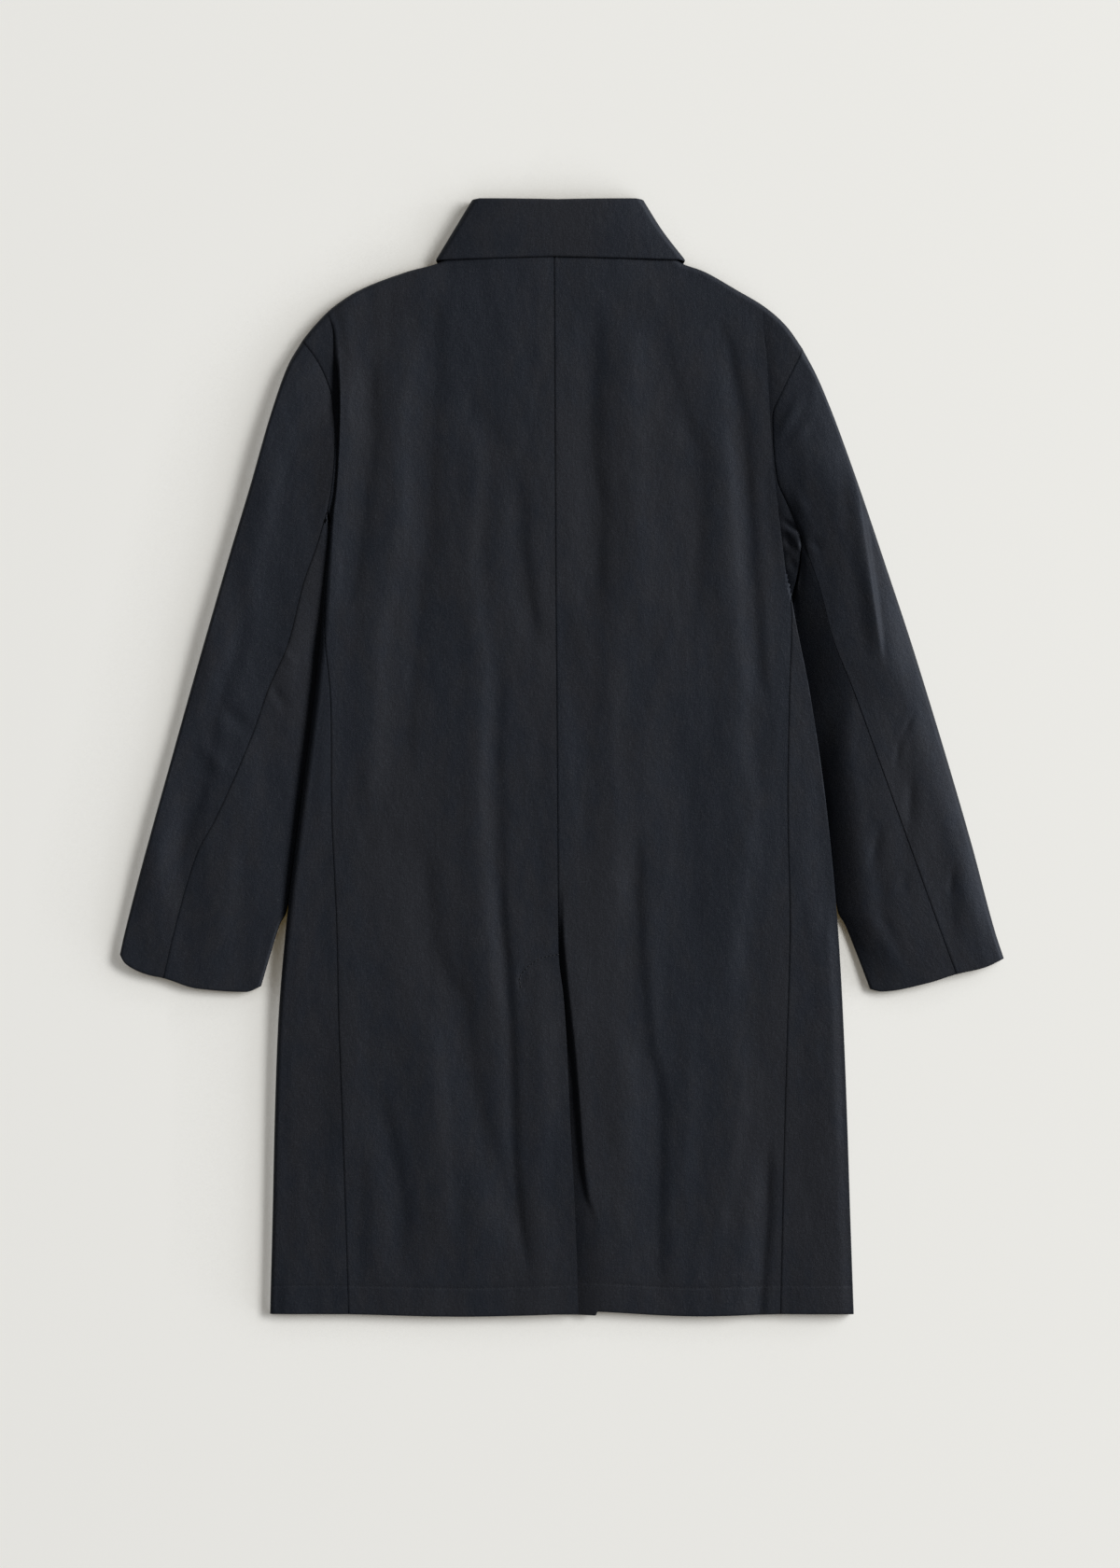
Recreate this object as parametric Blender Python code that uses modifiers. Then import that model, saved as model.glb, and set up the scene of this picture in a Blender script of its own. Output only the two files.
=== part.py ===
"""An oilskin coat laid out face down, so that its back shows: cloth walls lying on each other.

+X is to the right of someone who looks down at the back, +Y towards the collar, +Z up off the surface.
Left and right are the sides in that view. Every size here is in millimetres.
"""

from collections import namedtuple

import bpy
import numpy as np

MM = 0.001

# Cloth and seams
CLOTH = 2.0  # a wall of waxed cotton, with its turnings
SEAM = 0.3  # between two pieces where they are sewn
LAYER = 2.7  # a wall and the gap to the next one

# Lengths of the coat, as it lies
HEM_Y = -537.0
HEM_SAG = 2.4  # how much lower the hem hangs in the middle of each half
FRONT_HEM_Y = -534.0
FRONT_UNDERARM_Y = 200.0  # level of the underarm row at the centre front
NECK_Y = 497.0  # back neck seam
COLLAR_TOP_Y = 539.5
VENT_TOP_X = -3.2
VENT_TOP_Y = -190.0
CENTRE_BACK_TOP_X = -8.0
CENTRE_FRONT_X = -6.0
FRONT_OVERLAP = 32.0  # each front past the centre front
OVERLAP_RAMP = 14.0

LEFT, RIGHT = -1, 1
SIDE_NAMES = {LEFT: "left", RIGHT: "right"}

# Side fold of the body, and how far in from it the side seam lies on the back
Side = namedtuple("Side", "y edge_left seam_left edge_right seam_right height")
SIDES = [
    Side(y=235, edge_left=-223.5, seam_left=1.5, edge_right=208.0, seam_right=1.5, height=15.0),
    Side(y=152, edge_left=-230.3, seam_left=1.6, edge_right=222.0, seam_right=1.6, height=15.0),
    Side(y=130, edge_left=-231.7, seam_left=2.5, edge_right=226.0, seam_right=5.0, height=14.8),
    Side(y=60, edge_left=-238.5, seam_left=15.0, edge_right=239.8, seam_right=21.0, height=14.0),
    Side(y=-55, edge_left=-252.0, seam_left=31.0, edge_right=256.3, seam_right=39.0, height=13.0),
    Side(y=-170, edge_left=-266.0, seam_left=49.5, edge_right=266.9, seam_right=47.6, height=12.0),
    Side(y=-260, edge_left=-274.0, seam_left=58.5, edge_right=271.9, seam_right=55.0, height=11.0),
    Side(y=-350, edge_left=-277.2, seam_left=65.0, edge_right=275.4, seam_right=61.0, height=10.6),
    Side(y=-440, edge_left=-279.2, seam_left=70.0, edge_right=278.3, seam_right=66.0, height=10.2),
    Side(y=-540, edge_left=-281.8, seam_left=75.8, edge_right=281.8, seam_right=71.6, height=9.8),
]
UNDERARM_Y = {LEFT: 226.0, RIGHT: 150.0}  # where the armhole ends and the side seam starts
STEEP_GAP = 0.5  # extra gap where the side seam lies on the round of the fold
UNDERARM_RISE = 28.0  # over which a front turns up to its side fold

# Crest of the fold that the back drops over beside each armhole: its height, the width of the drop, its foot
Crest = namedtuple("Crest", "y x height drop foot")
CRESTS = {
    LEFT: [
        Crest(y=432, x=-222.0, height=12.2, drop=12.0, foot=11.8),
        Crest(y=411, x=-217.0, height=13.8, drop=8.0, foot=10.6),
        Crest(y=376, x=-214.5, height=15.6, drop=5.5, foot=9.6),
        Crest(y=343, x=-213.4, height=16.0, drop=5.0, foot=9.0),
        Crest(y=311, x=-213.6, height=16.0, drop=4.4, foot=8.4),
        Crest(y=281, x=-214.8, height=15.8, drop=4.4, foot=8.0),
        Crest(y=254, x=-216.6, height=15.4, drop=5.0, foot=7.7),
    ],
    RIGHT: [
        Crest(y=432, x=193.0, height=12.2, drop=12.0, foot=11.8),
        Crest(y=411, x=194.0, height=13.8, drop=8.0, foot=10.6),
        Crest(y=376, x=195.6, height=15.6, drop=5.5, foot=9.4),
        Crest(y=330, x=198.0, height=16.0, drop=5.0, foot=8.8),
        Crest(y=289, x=200.6, height=16.0, drop=4.6, foot=8.2),
        Crest(y=243, x=205.6, height=15.6, drop=5.0, foot=7.4),
        Crest(y=200, x=211.0, height=15.2, drop=5.5, foot=7.2),
        Crest(y=170, x=214.6, height=15.0, drop=6.8, foot=7.4),
    ],
}
CREST_SPREAD = 34.0  # how far a crest takes to sink into the back
CREST_ROUND = 12.0  # no soft fold starts nearer a crest than this

# Height of the back over the surface, and how much lower it lies where the collar wraps the shoulders
Level = namedtuple("Level", "y height")
BACK_LEVELS = [
    Level(y=500, height=11.9),
    Level(y=430, height=12.0),
    Level(y=300, height=11.2),
    Level(y=0, height=10.6),
    Level(y=-200, height=10.6),
    Level(y=-540, height=10.0),
]
NECK_DIP = 2.2
NECK_DIP_X = (58.0, 108.0)
NECK_DIP_Y = (436.0, 480.0)

# Places of the rows and columns that neighbouring pieces share, as shares of a length
ARMHOLE_STOPS = np.array([0, 0.0025, 0.012, 0.05, 0.12, 0.26, 0.4, 0.55, 0.7, 0.85, 1])
FRONT_STOPS = np.array([0, 0.0025, 0.012, 0.05, 0.12, 0.3, 0.48, 0.66, 0.8, 0.9, 0.96, 1])
SLEEVE_STOPS = np.array([0, 0.02, 0.06, 0.1, 0.19, 0.28, 0.37, 0.46, 0.55, 0.64, 0.73, 0.82, 0.91, 0.97, 1])
UNDERARM_STOPS = (0.5, 1.0)
SIDE_ROWS = 20
SIDE_ROW_START = 14.0

# Columns across a piece: the share of its width that each run of them reaches, and the steps in it
Run = namedtuple("Run", "reach steps")
BACK_RUNS = [Run(0.62, 7), Run(0.86, 4), Run(0.95, 3), Run(0.985, 3), Run(0.995, 1), Run(1, 1)]
FRONT_RUNS = [Run(0.1, 1), Run(0.24, 4), Run(0.9, 4), Run(0.968, 1), Run(0.984, 1), Run(0.996, 1), Run(1, 1)]
UNDER_SLEEVE_RUNS = [Run(0.05, 1), Run(0.16, 1), Run(1, 5)]
COLLAR_BACK_RUNS = [Run(0.6, 3), Run(0.88, 2), Run(0.94, 1), Run(0.985, 1), Run(1, 1)]
COLLAR_LEAF_RUNS = [Run(0.012, 1), Run(0.04, 1), Run(0.09, 1), Run(1, 4)]
FALL_RUNS = [Run(0.2, 1), Run(1, 3)]
STAND_RUNS = [Run(1, 24)]

# Columns over the side fold: their reach as a share of half its height, and the most of the way to the seam
FoldColumn = namedtuple("FoldColumn", "half_share seam_share")
FOLD_COLUMNS = [FoldColumn(0.13, 0.3), FoldColumn(0.5, 0.6), FoldColumn(1, 0.8)]
SEAM_COLUMNS = (0.5, 1.0)  # between the last of those and the seam

# Shoulder line from the neck to the sleeve, where the back meets the front at the outline
SHOULDERS = {
    LEFT: [(-103, 494), (-114, 481), (-118.0, 477.2), (-148.5, 468.6), (-193.5, 451.4), (-221.4, 433.4),
           (-239.4, 415.4), (-250.5, 401.6)],
    RIGHT: [(95, 494), (110, 481), (114.0, 477.2), (136.8, 468.6), (167.4, 451.4), (197.1, 433.4),
            (216.9, 415.4), (232.2, 393.8)],
}
SHOULDER_POINTS = 40
SHOULDER_ROUND = 4.8
SHOULDER_GAP = 1.6  # between the back and the front at the shoulder seam
NECK_SHOULDER = 52.0  # straight part of the back neck seam, each side of the centre
ARMHOLES = {
    LEFT: [(-250.5, 401.6), (-235.8, 381.2), (-226.8, 362.3), (-221.4, 343.4), (-219.0, 311.9),
           (-220.2, 280.4), (-222.8, 256), (-226.5, 238)],
    RIGHT: [(232.2, 393.8), (215.1, 362.3), (206.4, 336.2), (204.4, 312), (205.6, 290), (209, 268),
            (219.5, 238), (231.3, 212)],
}
# From the lowest seen point of each armhole to the side seam
UNDERARMS = {
    LEFT: [(-226.5, 238), (-223.4, 231), (-222.6, 224)],
    RIGHT: [(231.3, 212), (229.0, 190), (220.4, 150)],
}
SLEEVE_UNDERARMS = {LEFT: [(-226.0, 229)], RIGHT: [(223.6, 148), (230.4, 190)]}
FRONT_ARMHOLES = {
    LEFT: [(-250.5, 401.6), (-234, 376), (-222, 340), (-219, 311.9), (-220.2, 280.4), (-224.0, 226)],
    RIGHT: [(232.2, 393.8), (214, 356), (204.4, 312), (206, 270), (211, 215), (222.4, 150)],
}

# Centre back seam, then the free edge of the left back along the vent
CENTRE_BACK = [(CENTRE_BACK_TOP_X, NECK_Y), (-6.3, 160), (-5.4, 60), (VENT_TOP_X, VENT_TOP_Y), (1.3, -229),
               (4.6, -276), (7.7, -345), (12.9, -449), (16.0, -536.6)]

# Right back beside the vent: the crest of its fold, the width of the hollow to the left of it, its depth
Vent = namedtuple("Vent", "y crest hollow depth")
VENT = [
    Vent(y=-120, crest=2.0, hollow=6.0, depth=0.0),
    Vent(y=-188, crest=4.6, hollow=7.0, depth=3.4),
    Vent(y=-276, crest=15.0, hollow=9.5, depth=3.4),
    Vent(y=-380, crest=22.0, hollow=11.5, depth=3.3),
    Vent(y=-437, crest=30.0, hollow=17.0, depth=3.2),
    Vent(y=-480, crest=52.0, hollow=37.0, depth=3.1),
    Vent(y=-540, crest=64.0, hollow=46.0, depth=2.9),
]
UNDERLAP_TOP = 4.0  # width of the right back under the left at the top of the vent
UNDERLAP = 38.0  # and its reach past the middle below its slanting end
UNDERLAP_SLANT = 22.0
UNDERLAP_COLUMNS = 3

# Soft ridges and hollows, from one end to the other
Fold = namedtuple("Fold", "x0 y0 x1 y1 half_width rise")
BACK_FOLDS = [
    Fold(x0=-178, y0=405, x1=-208, y1=130, half_width=13, rise=-2.6),
    Fold(x0=-150, y0=420, x1=-158, y1=60, half_width=17, rise=2.2),
    Fold(x0=-126, y0=380, x1=-140, y1=190, half_width=14, rise=-2.0),
    Fold(x0=-95, y0=330, x1=-85, y1=-90, half_width=20, rise=1.8),
    Fold(x0=-36, y0=340, x1=-44, y1=120, half_width=13, rise=2.0),
    Fold(x0=-62, y0=-120, x1=-50, y1=-440, half_width=9, rise=-1.7),
    Fold(x0=-105, y0=-60, x1=-118, y1=-470, half_width=20, rise=1.9),
    Fold(x0=-150, y0=-40, x1=-160, y1=-480, half_width=17, rise=-1.8),
    Fold(x0=36, y0=400, x1=30, y1=60, half_width=15, rise=1.7),
    Fold(x0=72, y0=330, x1=84, y1=-60, half_width=16, rise=-1.7),
    Fold(x0=128, y0=380, x1=118, y1=60, half_width=20, rise=2.2),
    Fold(x0=183, y0=290, x1=204, y1=30, half_width=12, rise=-2.8),
    Fold(x0=52, y0=-150, x1=66, y1=-420, half_width=20, rise=1.9),
    Fold(x0=84, y0=-210, x1=100, y1=-520, half_width=13, rise=-2.2),
    Fold(x0=140, y0=-60, x1=132, y1=-500, half_width=22, rise=2.0),
    Fold(x0=182, y0=-20, x1=176, y1=-380, half_width=12, rise=-1.5),
]
SLEEVE_FOLDS = [
    Fold(x0=-262, y0=330, x1=-300, y1=60, half_width=16, rise=-1.8),
    Fold(x0=-286, y0=250, x1=-345, y1=30, half_width=13, rise=1.8),
    Fold(x0=-330, y0=60, x1=-290, y1=0, half_width=12, rise=-1.6),
    Fold(x0=-380, y0=-40, x1=-402, y1=-190, half_width=12, rise=1.6),
    Fold(x0=-318, y0=-90, x1=-322, y1=-210, half_width=14, rise=1.5),
    Fold(x0=286, y0=250, x1=310, y1=80, half_width=8, rise=2.6),
    Fold(x0=256, y0=330, x1=268, y1=180, half_width=14, rise=-1.8),
    Fold(x0=352, y0=60, x1=330, y1=-40, half_width=12, rise=-2.2),
    Fold(x0=372, y0=-30, x1=398, y1=-180, half_width=13, rise=1.7),
    Fold(x0=322, y0=-90, x1=330, y1=-205, half_width=13, rise=-1.6),
]
FOLD_FADE = 2.2  # how fast a fold dies out at its ends

# Sleeves: outer fold, back seam on top, free end of the inner fold, and the cuff's edge
OUTER_EDGES = {
    LEFT: [(-250.5, 401.6), (-263.7, 379.4), (-279.9, 334.4), (-300.6, 262.4), (-322.2, 190.4),
           (-373.5, 10.4), (-422.1, -169.7), (-426.6, -190)],
    RIGHT: [(232.2, 393.8), (244.8, 370.4), (260.1, 334.4), (286.2, 262.4), (310.5, 190.4), (340.2, 100.4),
            (394.2, -79.7), (418.5, -169.7), (426.6, -194)],
}
BACK_SEAMS = {
    LEFT: [(-226.5, 238), (-236.5, 204.8), (-249.3, 168.8), (-264.6, 109.4), (-283.5, 66.2), (-297.9, 24.8),
           (-335.7, -61.7), (-351.9, -91.4), (-374.4, -167.9), (-384.8, -212.9)],
    RIGHT: [(231.3, 212), (237.6, 193), (248.4, 160.7), (261, 112), (279.9, 64.4), (310.5, -19.4),
            (340.2, -101.3), (365, -169.7), (379.8, -209.3)],
}
INNER_FREE_EDGES = {
    LEFT: [(-266.5, -147), (-274.5, -174), (-283.5, -201), (-290.3, -221)],
    RIGHT: [(267.5, -146), (275, -163), (285, -190), (297.5, -223.7)],
}
CUFFS = {
    LEFT: [(-426.6, -190), (-421, -199), (-398.7, -210), (-384.8, -212.9), (-351, -223.3), (-305, -226.4),
           (-290.3, -221)],
    RIGHT: [(426.6, -194), (406.8, -203), (379.8, -209.3), (352.8, -217.8), (308.3, -226), (297.5, -223.7)],
}
CUFF_POINTS = 400
BODY_CLEARANCE = 0.8  # between a sleeve's inner fold and the body
BESIDE_BODY_POINTS = 12
FREE_EDGE_RUN = 40.0  # over which the inner fold leaves the body
HIDDEN_SEAM = 0.66  # where the sleeve's seam on the surface lies, as a share from the outer fold to the inner
HIDDEN_CUFF_LIFT = 2.0  # how much shorter the cuff is on the surface
SleeveLevel = namedtuple("SleeveLevel", "share outer seam inner")
SLEEVE_LEVELS = {
    LEFT: [
        SleeveLevel(share=0.0, outer=12.4, seam=8.0, inner=8.0),
        SleeveLevel(share=0.3, outer=12.6, seam=9.6, inner=7.6),
        SleeveLevel(share=0.7, outer=12.0, seam=10.2, inner=8.0),
        SleeveLevel(share=1.0, outer=10.6, seam=10.0, inner=9.4),
    ],
    RIGHT: [
        SleeveLevel(share=0.0, outer=12.4, seam=8.0, inner=8.0),
        SleeveLevel(share=0.1, outer=12.5, seam=8.6, inner=7.8),
        SleeveLevel(share=0.3, outer=12.6, seam=12.4, inner=7.2),
        SleeveLevel(share=0.7, outer=12.0, seam=10.6, inner=7.6),
        SleeveLevel(share=1.0, outer=10.6, seam=10.0, inner=9.4),
    ],
}
SLEEVE_END_FADE = 4  # power at which the curves of the armhole and the cuff fade out along a sleeve
ARMHOLE_SPREAD = 26.0  # how far the sleeve takes to leave the armhole's height
SLEEVE_FOLD_START = 40.0
TIP_GAP = 1.4  # extra gap where a sleeve starts at the outer fold
TIP_SHARE = 0.12
FOLD_SHARE = 0.7  # most of a narrow sleeve piece that its fold takes up

# Collar: outline of its back, its hidden front leaves, and the layers it is folded into
COLLAR_SIDES = {
    LEFT: [(-85.5, COLLAR_TOP_Y), (-104.0, 509), (-122.0, 479.2)],
    RIGHT: [(77.4, COLLAR_TOP_Y), (96.5, 509), (119.4, 479.2)],
}
COLLAR_CENTRE = [(-4.0, 537.6), (CENTRE_BACK_TOP_X, 482.4)]
LEAF_ENDS = {LEFT: [(-9, 424), (-44, 357)], RIGHT: [(-3, 424), (32, 357)]}
COLLAR_FOLD_HEIGHT = 12.6
COLLAR_RISE = 3.0  # how much higher the collar lies at the centre back
COLLAR_RISE_FADE = 4  # power at which it falls off towards the side folds
COLLAR_START = 0.045  # where the fall leaves the roll, as a share of its height
ROLL_TURNS = (180, 135, 90, 45)  # degrees round the roll
ROLL_RADIUS = 2.6
STAND_DEPTH = 3.2  # from the collar's face to the stand's
STAND_START = 0.04  # the top of the stand, as a share of its height
STAND_BACK = 0.68  # the stand's height as a share of the collar's, at the back
STAND_FRONT = 0.45  # and at the front
STAND_NARROWS = 0.5  # share of the way round to the front at which it starts to narrow
STAND_ROWS = (STAND_START, 0.5, 1.0)
LEAF_RAMP = 70.0
NECKLINES = {
    LEFT: [(-6, 391), (-25, 393.5), (-68, 442), (-95, 479), (-103, 494)],
    RIGHT: [(-6, 391), (13, 393.5), (57, 442), (86, 479), (95, 494)],
}

OILSKIN = (0.0175, 0.0205, 0.0262, 1.0)
OILSKIN_ROUGHNESS = 0.55


def through(known, values, at):
    """Values at some places on a smooth line through the known ones, with no overshoot."""
    known, values, at = (np.asarray(a, float) for a in (known, values, at))
    if known[0] > known[-1]:
        known, values = known[::-1], values[::-1]
    step = np.diff(known)
    slope = np.diff(values) / step
    tangent = np.concatenate([slope[:1], np.zeros(len(slope) - 1), slope[-1:]])
    same_way = slope[:-1] * slope[1:] > 0
    mean = 2 * slope[:-1] * slope[1:] / np.where(same_way, slope[:-1] + slope[1:], 1)
    tangent[1:-1] = np.where(same_way, mean, 0)
    at = np.clip(at, known[0], known[-1])
    i = np.clip(np.searchsorted(known, at) - 1, 0, len(step) - 1)
    f = (at - known[i]) / step[i]
    start = (1 + 2 * f) * (1 - f) ** 2 * values[i] + f * (1 - f) ** 2 * step[i] * tangent[i]
    end = f**2 * (3 - 2 * f) * values[i + 1] + f**2 * (f - 1) * step[i] * tangent[i + 1]
    return start + end


def column(table, key, name, at):
    """One column of a table, at some places along its key column."""
    return through([getattr(row, key) for row in table], [getattr(row, name) for row in table], at)


def lengths(points):
    """Length along a line of points, up to each of them."""
    return np.concatenate([[0], np.cumsum(np.linalg.norm(np.diff(points, axis=0), axis=1))])


def along(points, shares):
    """Points at some shares of the length of a smooth line through the given ones."""
    points = np.asarray(points, float)
    reach = lengths(points)
    at = np.asarray(shares, float) * reach[-1]
    return np.column_stack([through(reach, points[:, 0], at), through(reach, points[:, 1], at)])


def smooth(f):
    f = np.clip(f, 0, 1)
    return f * f * (3 - 2 * f)


def quarter(f):
    """Height of a quarter round, as a share, at a share of its width in from the edge."""
    return np.sqrt(1 - (1 - np.clip(f, 0, 1)) ** 2)


def patch(start, end, inner, outer, across, down):
    """Points between four edges: start and end run across, inner and outer run down."""
    u, v = across[None, :, None], down[:, None, None]
    ruled = (1 - v) * start[None] + v * end[None] + (1 - u) * inner[:, None] + u * outer[:, None]
    near = (1 - u) * start[0] + u * start[-1]
    far = (1 - u) * end[0] + u * end[-1]
    return ruled - (1 - v) * near - v * far


def spaced(runs, first=0):
    """Shares from the first on, through each run of a table."""
    shares = [first]
    for run in runs:
        shares += list(np.linspace(shares[-1], run.reach, run.steps + 1)[1:])
    return np.array(shares)


def unit(way):
    return way / np.linalg.norm(way, axis=-1, keepdims=True)


def pull_in(grid, **gaps):
    """Moves the named edges of a grid of points in, square to the edge, each by its gap."""
    places = {
        "first_row": (np.s_[0], np.s_[1]),
        "first_column": (np.s_[:, 0], np.s_[:, 1]),
        "last_column": (np.s_[:, -1], np.s_[:, -2]),
    }
    for name, gap in gaps.items():
        edge, beside = places[name]
        way = grid[beside] - grid[edge]
        run = unit(np.gradient(grid[edge], axis=0))
        square = unit(way - np.sum(way * run, axis=-1, keepdims=True) * run)
        square[[0, -1]] = square[[1, -2]]
        grid[edge] += square * np.reshape(gap, (-1, 1))


def folds(table, x, y):
    """Height that a table of soft ridges and hollows adds at some points."""
    total = np.zeros_like(x)
    for fold in table:
        run = np.array([fold.x1 - fold.x0, fold.y1 - fold.y0])
        length = np.linalg.norm(run)
        way = run / length
        share = ((x - fold.x0) * way[0] + (y - fold.y0) * way[1]) / length
        off = (x - fold.x0) * way[1] - (y - fold.y0) * way[0]
        fade = smooth(FOLD_FADE * np.minimum(share, 1 - share))
        total += fold.rise * fade * np.exp(-((off / fold.half_width) ** 2))
    return total


def distance_to(line, x, y):
    """Distance from points to a line of straight runs."""
    nearest = np.full(x.shape, np.inf)
    for a, b in zip(line[:-1], line[1:]):
        run = b - a
        share = np.clip(((x - a[0]) * run[0] + (y - a[1]) * run[1]) / (run @ run), 0, 1)
        nearest = np.minimum(nearest, np.hypot(x - a[0] - share * run[0], y - a[1] - share * run[1]))
    return nearest


def side_edge(side, y):
    return column(SIDES, "y", "edge_" + SIDE_NAMES[side], y)


def seam_inset(side, y):
    return column(SIDES, "y", "seam_" + SIDE_NAMES[side], y)


def crest_rows(side):
    """The crest beside the armhole, carried on down the side fold to the hem."""
    rows = list(CRESTS[side])
    for row in SIDES:
        if row.y < rows[-1].y - CREST_ROUND:
            half = row.height / 2
            edge = float(side_edge(side, row.y))
            rows.append(Crest(y=row.y, x=edge - side * half, height=row.height, drop=half, foot=half))
    return rows


def leaf_lift(x, y):
    """How far a front is lifted where it lies on the collar's front leaves."""
    lift_from = np.full(np.shape(x), float(LEAF_ENDS[LEFT][1][1]))
    for side in (LEFT, RIGHT):
        corner_x, corner_y = COLLAR_SIDES[side][-1]
        point_x, point_y = LEAF_ENDS[side][1]
        slope = (corner_y - point_y) / (corner_x - point_x)
        lift_from = np.where(side * (x - point_x) > 0, point_y + slope * (x - point_x), lift_from)
    return STAND_DEPTH * smooth(1 - (lift_from - y) / LEAF_RAMP)


def back_level(x, y):
    """Height of the flat of the back, before its crests and folds."""
    level = column(BACK_LEVELS, "y", "height", y)
    out = smooth((np.abs(x - CENTRE_BACK_TOP_X) - NECK_DIP_X[0]) / (NECK_DIP_X[1] - NECK_DIP_X[0]))
    up = smooth((y - NECK_DIP_Y[0]) / (NECK_DIP_Y[1] - NECK_DIP_Y[0]))
    return level - NECK_DIP * out * up


def to_shoulder(side, x, y):
    return distance_to(along(SHOULDERS[side], np.linspace(0, 1, SHOULDER_POINTS)), x, y)


def back_top(side, x, y):
    """Height of the cloth's outer face on one half of the back, from the centre to the side fold."""
    rows = crest_rows(side)
    crest, height, drop, foot = (column(rows, "y", name, y) for name in ("x", "height", "drop", "foot"))
    level = back_level(x, y)
    inward = side * (crest - x)
    inside = level + (height - level) * np.exp(-np.maximum(inward, 0) / CREST_SPREAD)
    outside = foot + (height - foot) * quarter(1 + inward / drop)
    top = np.where(inward >= 0, inside, outside) + folds(BACK_FOLDS, x, y) * smooth(inward / CREST_ROUND)
    middle = (top + leaf_lift(x, y) + SHOULDER_GAP) / 2
    return middle + (top - middle) * quarter(to_shoulder(side, x, y) / SHOULDER_ROUND)


def vent_drop(x, y):
    """How far the right back dips beside the vent and under the left back."""
    crest, hollow, depth = (column(VENT, "y", name, y) for name in ("crest", "hollow", "depth"))
    return depth * smooth((crest - x) / hollow)


def seam_rows(side):
    """Heights up the coat of the rows below the underarm."""
    return np.linspace(UNDERARM_Y[side] - SIDE_ROW_START, HEM_Y, SIDE_ROWS)


def back_grid(side):
    """Outer face of one half of the back, as rows from the neck to the hem."""
    y = seam_rows(side)
    seam = np.column_stack([side_edge(side, y) - side * seam_inset(side, y), y])
    underarm = along(UNDERARMS[side], UNDERARM_STOPS)
    outer = np.concatenate([along(ARMHOLES[side], ARMHOLE_STOPS), underarm, seam])
    down = lengths(outer) / lengths(outer)[-1]
    vent_row = int(np.argmin(np.abs(outer[:, 1] - VENT_TOP_Y)))
    centre_reach = lengths(np.array(CENTRE_BACK))
    vent_share = centre_reach[CENTRE_BACK.index((VENT_TOP_X, VENT_TOP_Y))] / centre_reach[-1]
    inner = along(CENTRE_BACK, through([0, down[vent_row], 1], [0, vent_share, 1], down))
    across = spaced(BACK_RUNS)
    neck = [(CENTRE_BACK_TOP_X, NECK_Y), (CENTRE_BACK_TOP_X + side * NECK_SHOULDER, NECK_Y)]
    start = along(neck + SHOULDERS[side], across)
    middle = ((inner[-1][0] + outer[-1][0]) / 2, HEM_Y - HEM_SAG)
    end = along([inner[-1], middle, outer[-1]], across)
    flat = patch(start, end, inner, outer, across, down)
    pull_in(flat, first_row=SEAM / 2, first_column=SEAM / 2, last_column=SEAM / 2)
    return np.dstack([flat, back_top(side, flat[..., 0], flat[..., 1])])


def right_back_grid():
    """The right back, with its underlap as extra columns that start at the top of the vent."""
    grid = back_grid(RIGHT)
    vent_row = int(np.argmin(np.abs(grid[:, 0, 1] - VENT_TOP_Y)))
    edge = grid[:, 0].copy()
    slant = smooth((edge[vent_row, 1] - edge[:, 1]) / UNDERLAP_SLANT)
    width = UNDERLAP_TOP + slant * (UNDERLAP + edge[:, 0] - UNDERLAP_TOP)
    strips = []
    for share in np.linspace(1, 0, UNDERLAP_COLUMNS, endpoint=False):
        x = edge[:, 0] - width * share
        strips.append(np.column_stack([x, edge[:, 1], back_level(x, edge[:, 1])]))
    grid = np.concatenate([np.stack(strips, axis=1), grid], axis=1)
    grid[..., 2] -= vent_drop(grid[..., 0], grid[..., 1])
    present = np.ones(grid.shape[:2], bool)
    present[:vent_row, :UNDERLAP_COLUMNS] = False
    return grid, present


def front_floor(side, flat, wrapped):
    """Height of a front's outer face on the surface: over the collar and the other front, up to its edges."""
    x, y = flat[..., 0], flat[..., 1]
    z = leaf_lift(x, y)
    if side == RIGHT:
        z = z + LAYER * smooth((CENTRE_FRONT_X + FRONT_OVERLAP + OVERLAP_RAMP - x) / OVERLAP_RAMP)
    middle = (back_level(x, y) + z - SHOULDER_GAP) / 2
    z = middle - (middle - z) * quarter(to_shoulder(side, x, y) / SHOULDER_ROUND)
    half = column(SIDES, "y", "height", y) / 2
    rise = np.where(wrapped[:, None], 1, smooth(1 - (y - UNDERARM_Y[side]) / UNDERARM_RISE))
    return np.maximum(z, rise * half * (1 - quarter(np.abs(side_edge(side, y) - x) / half)))


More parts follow.
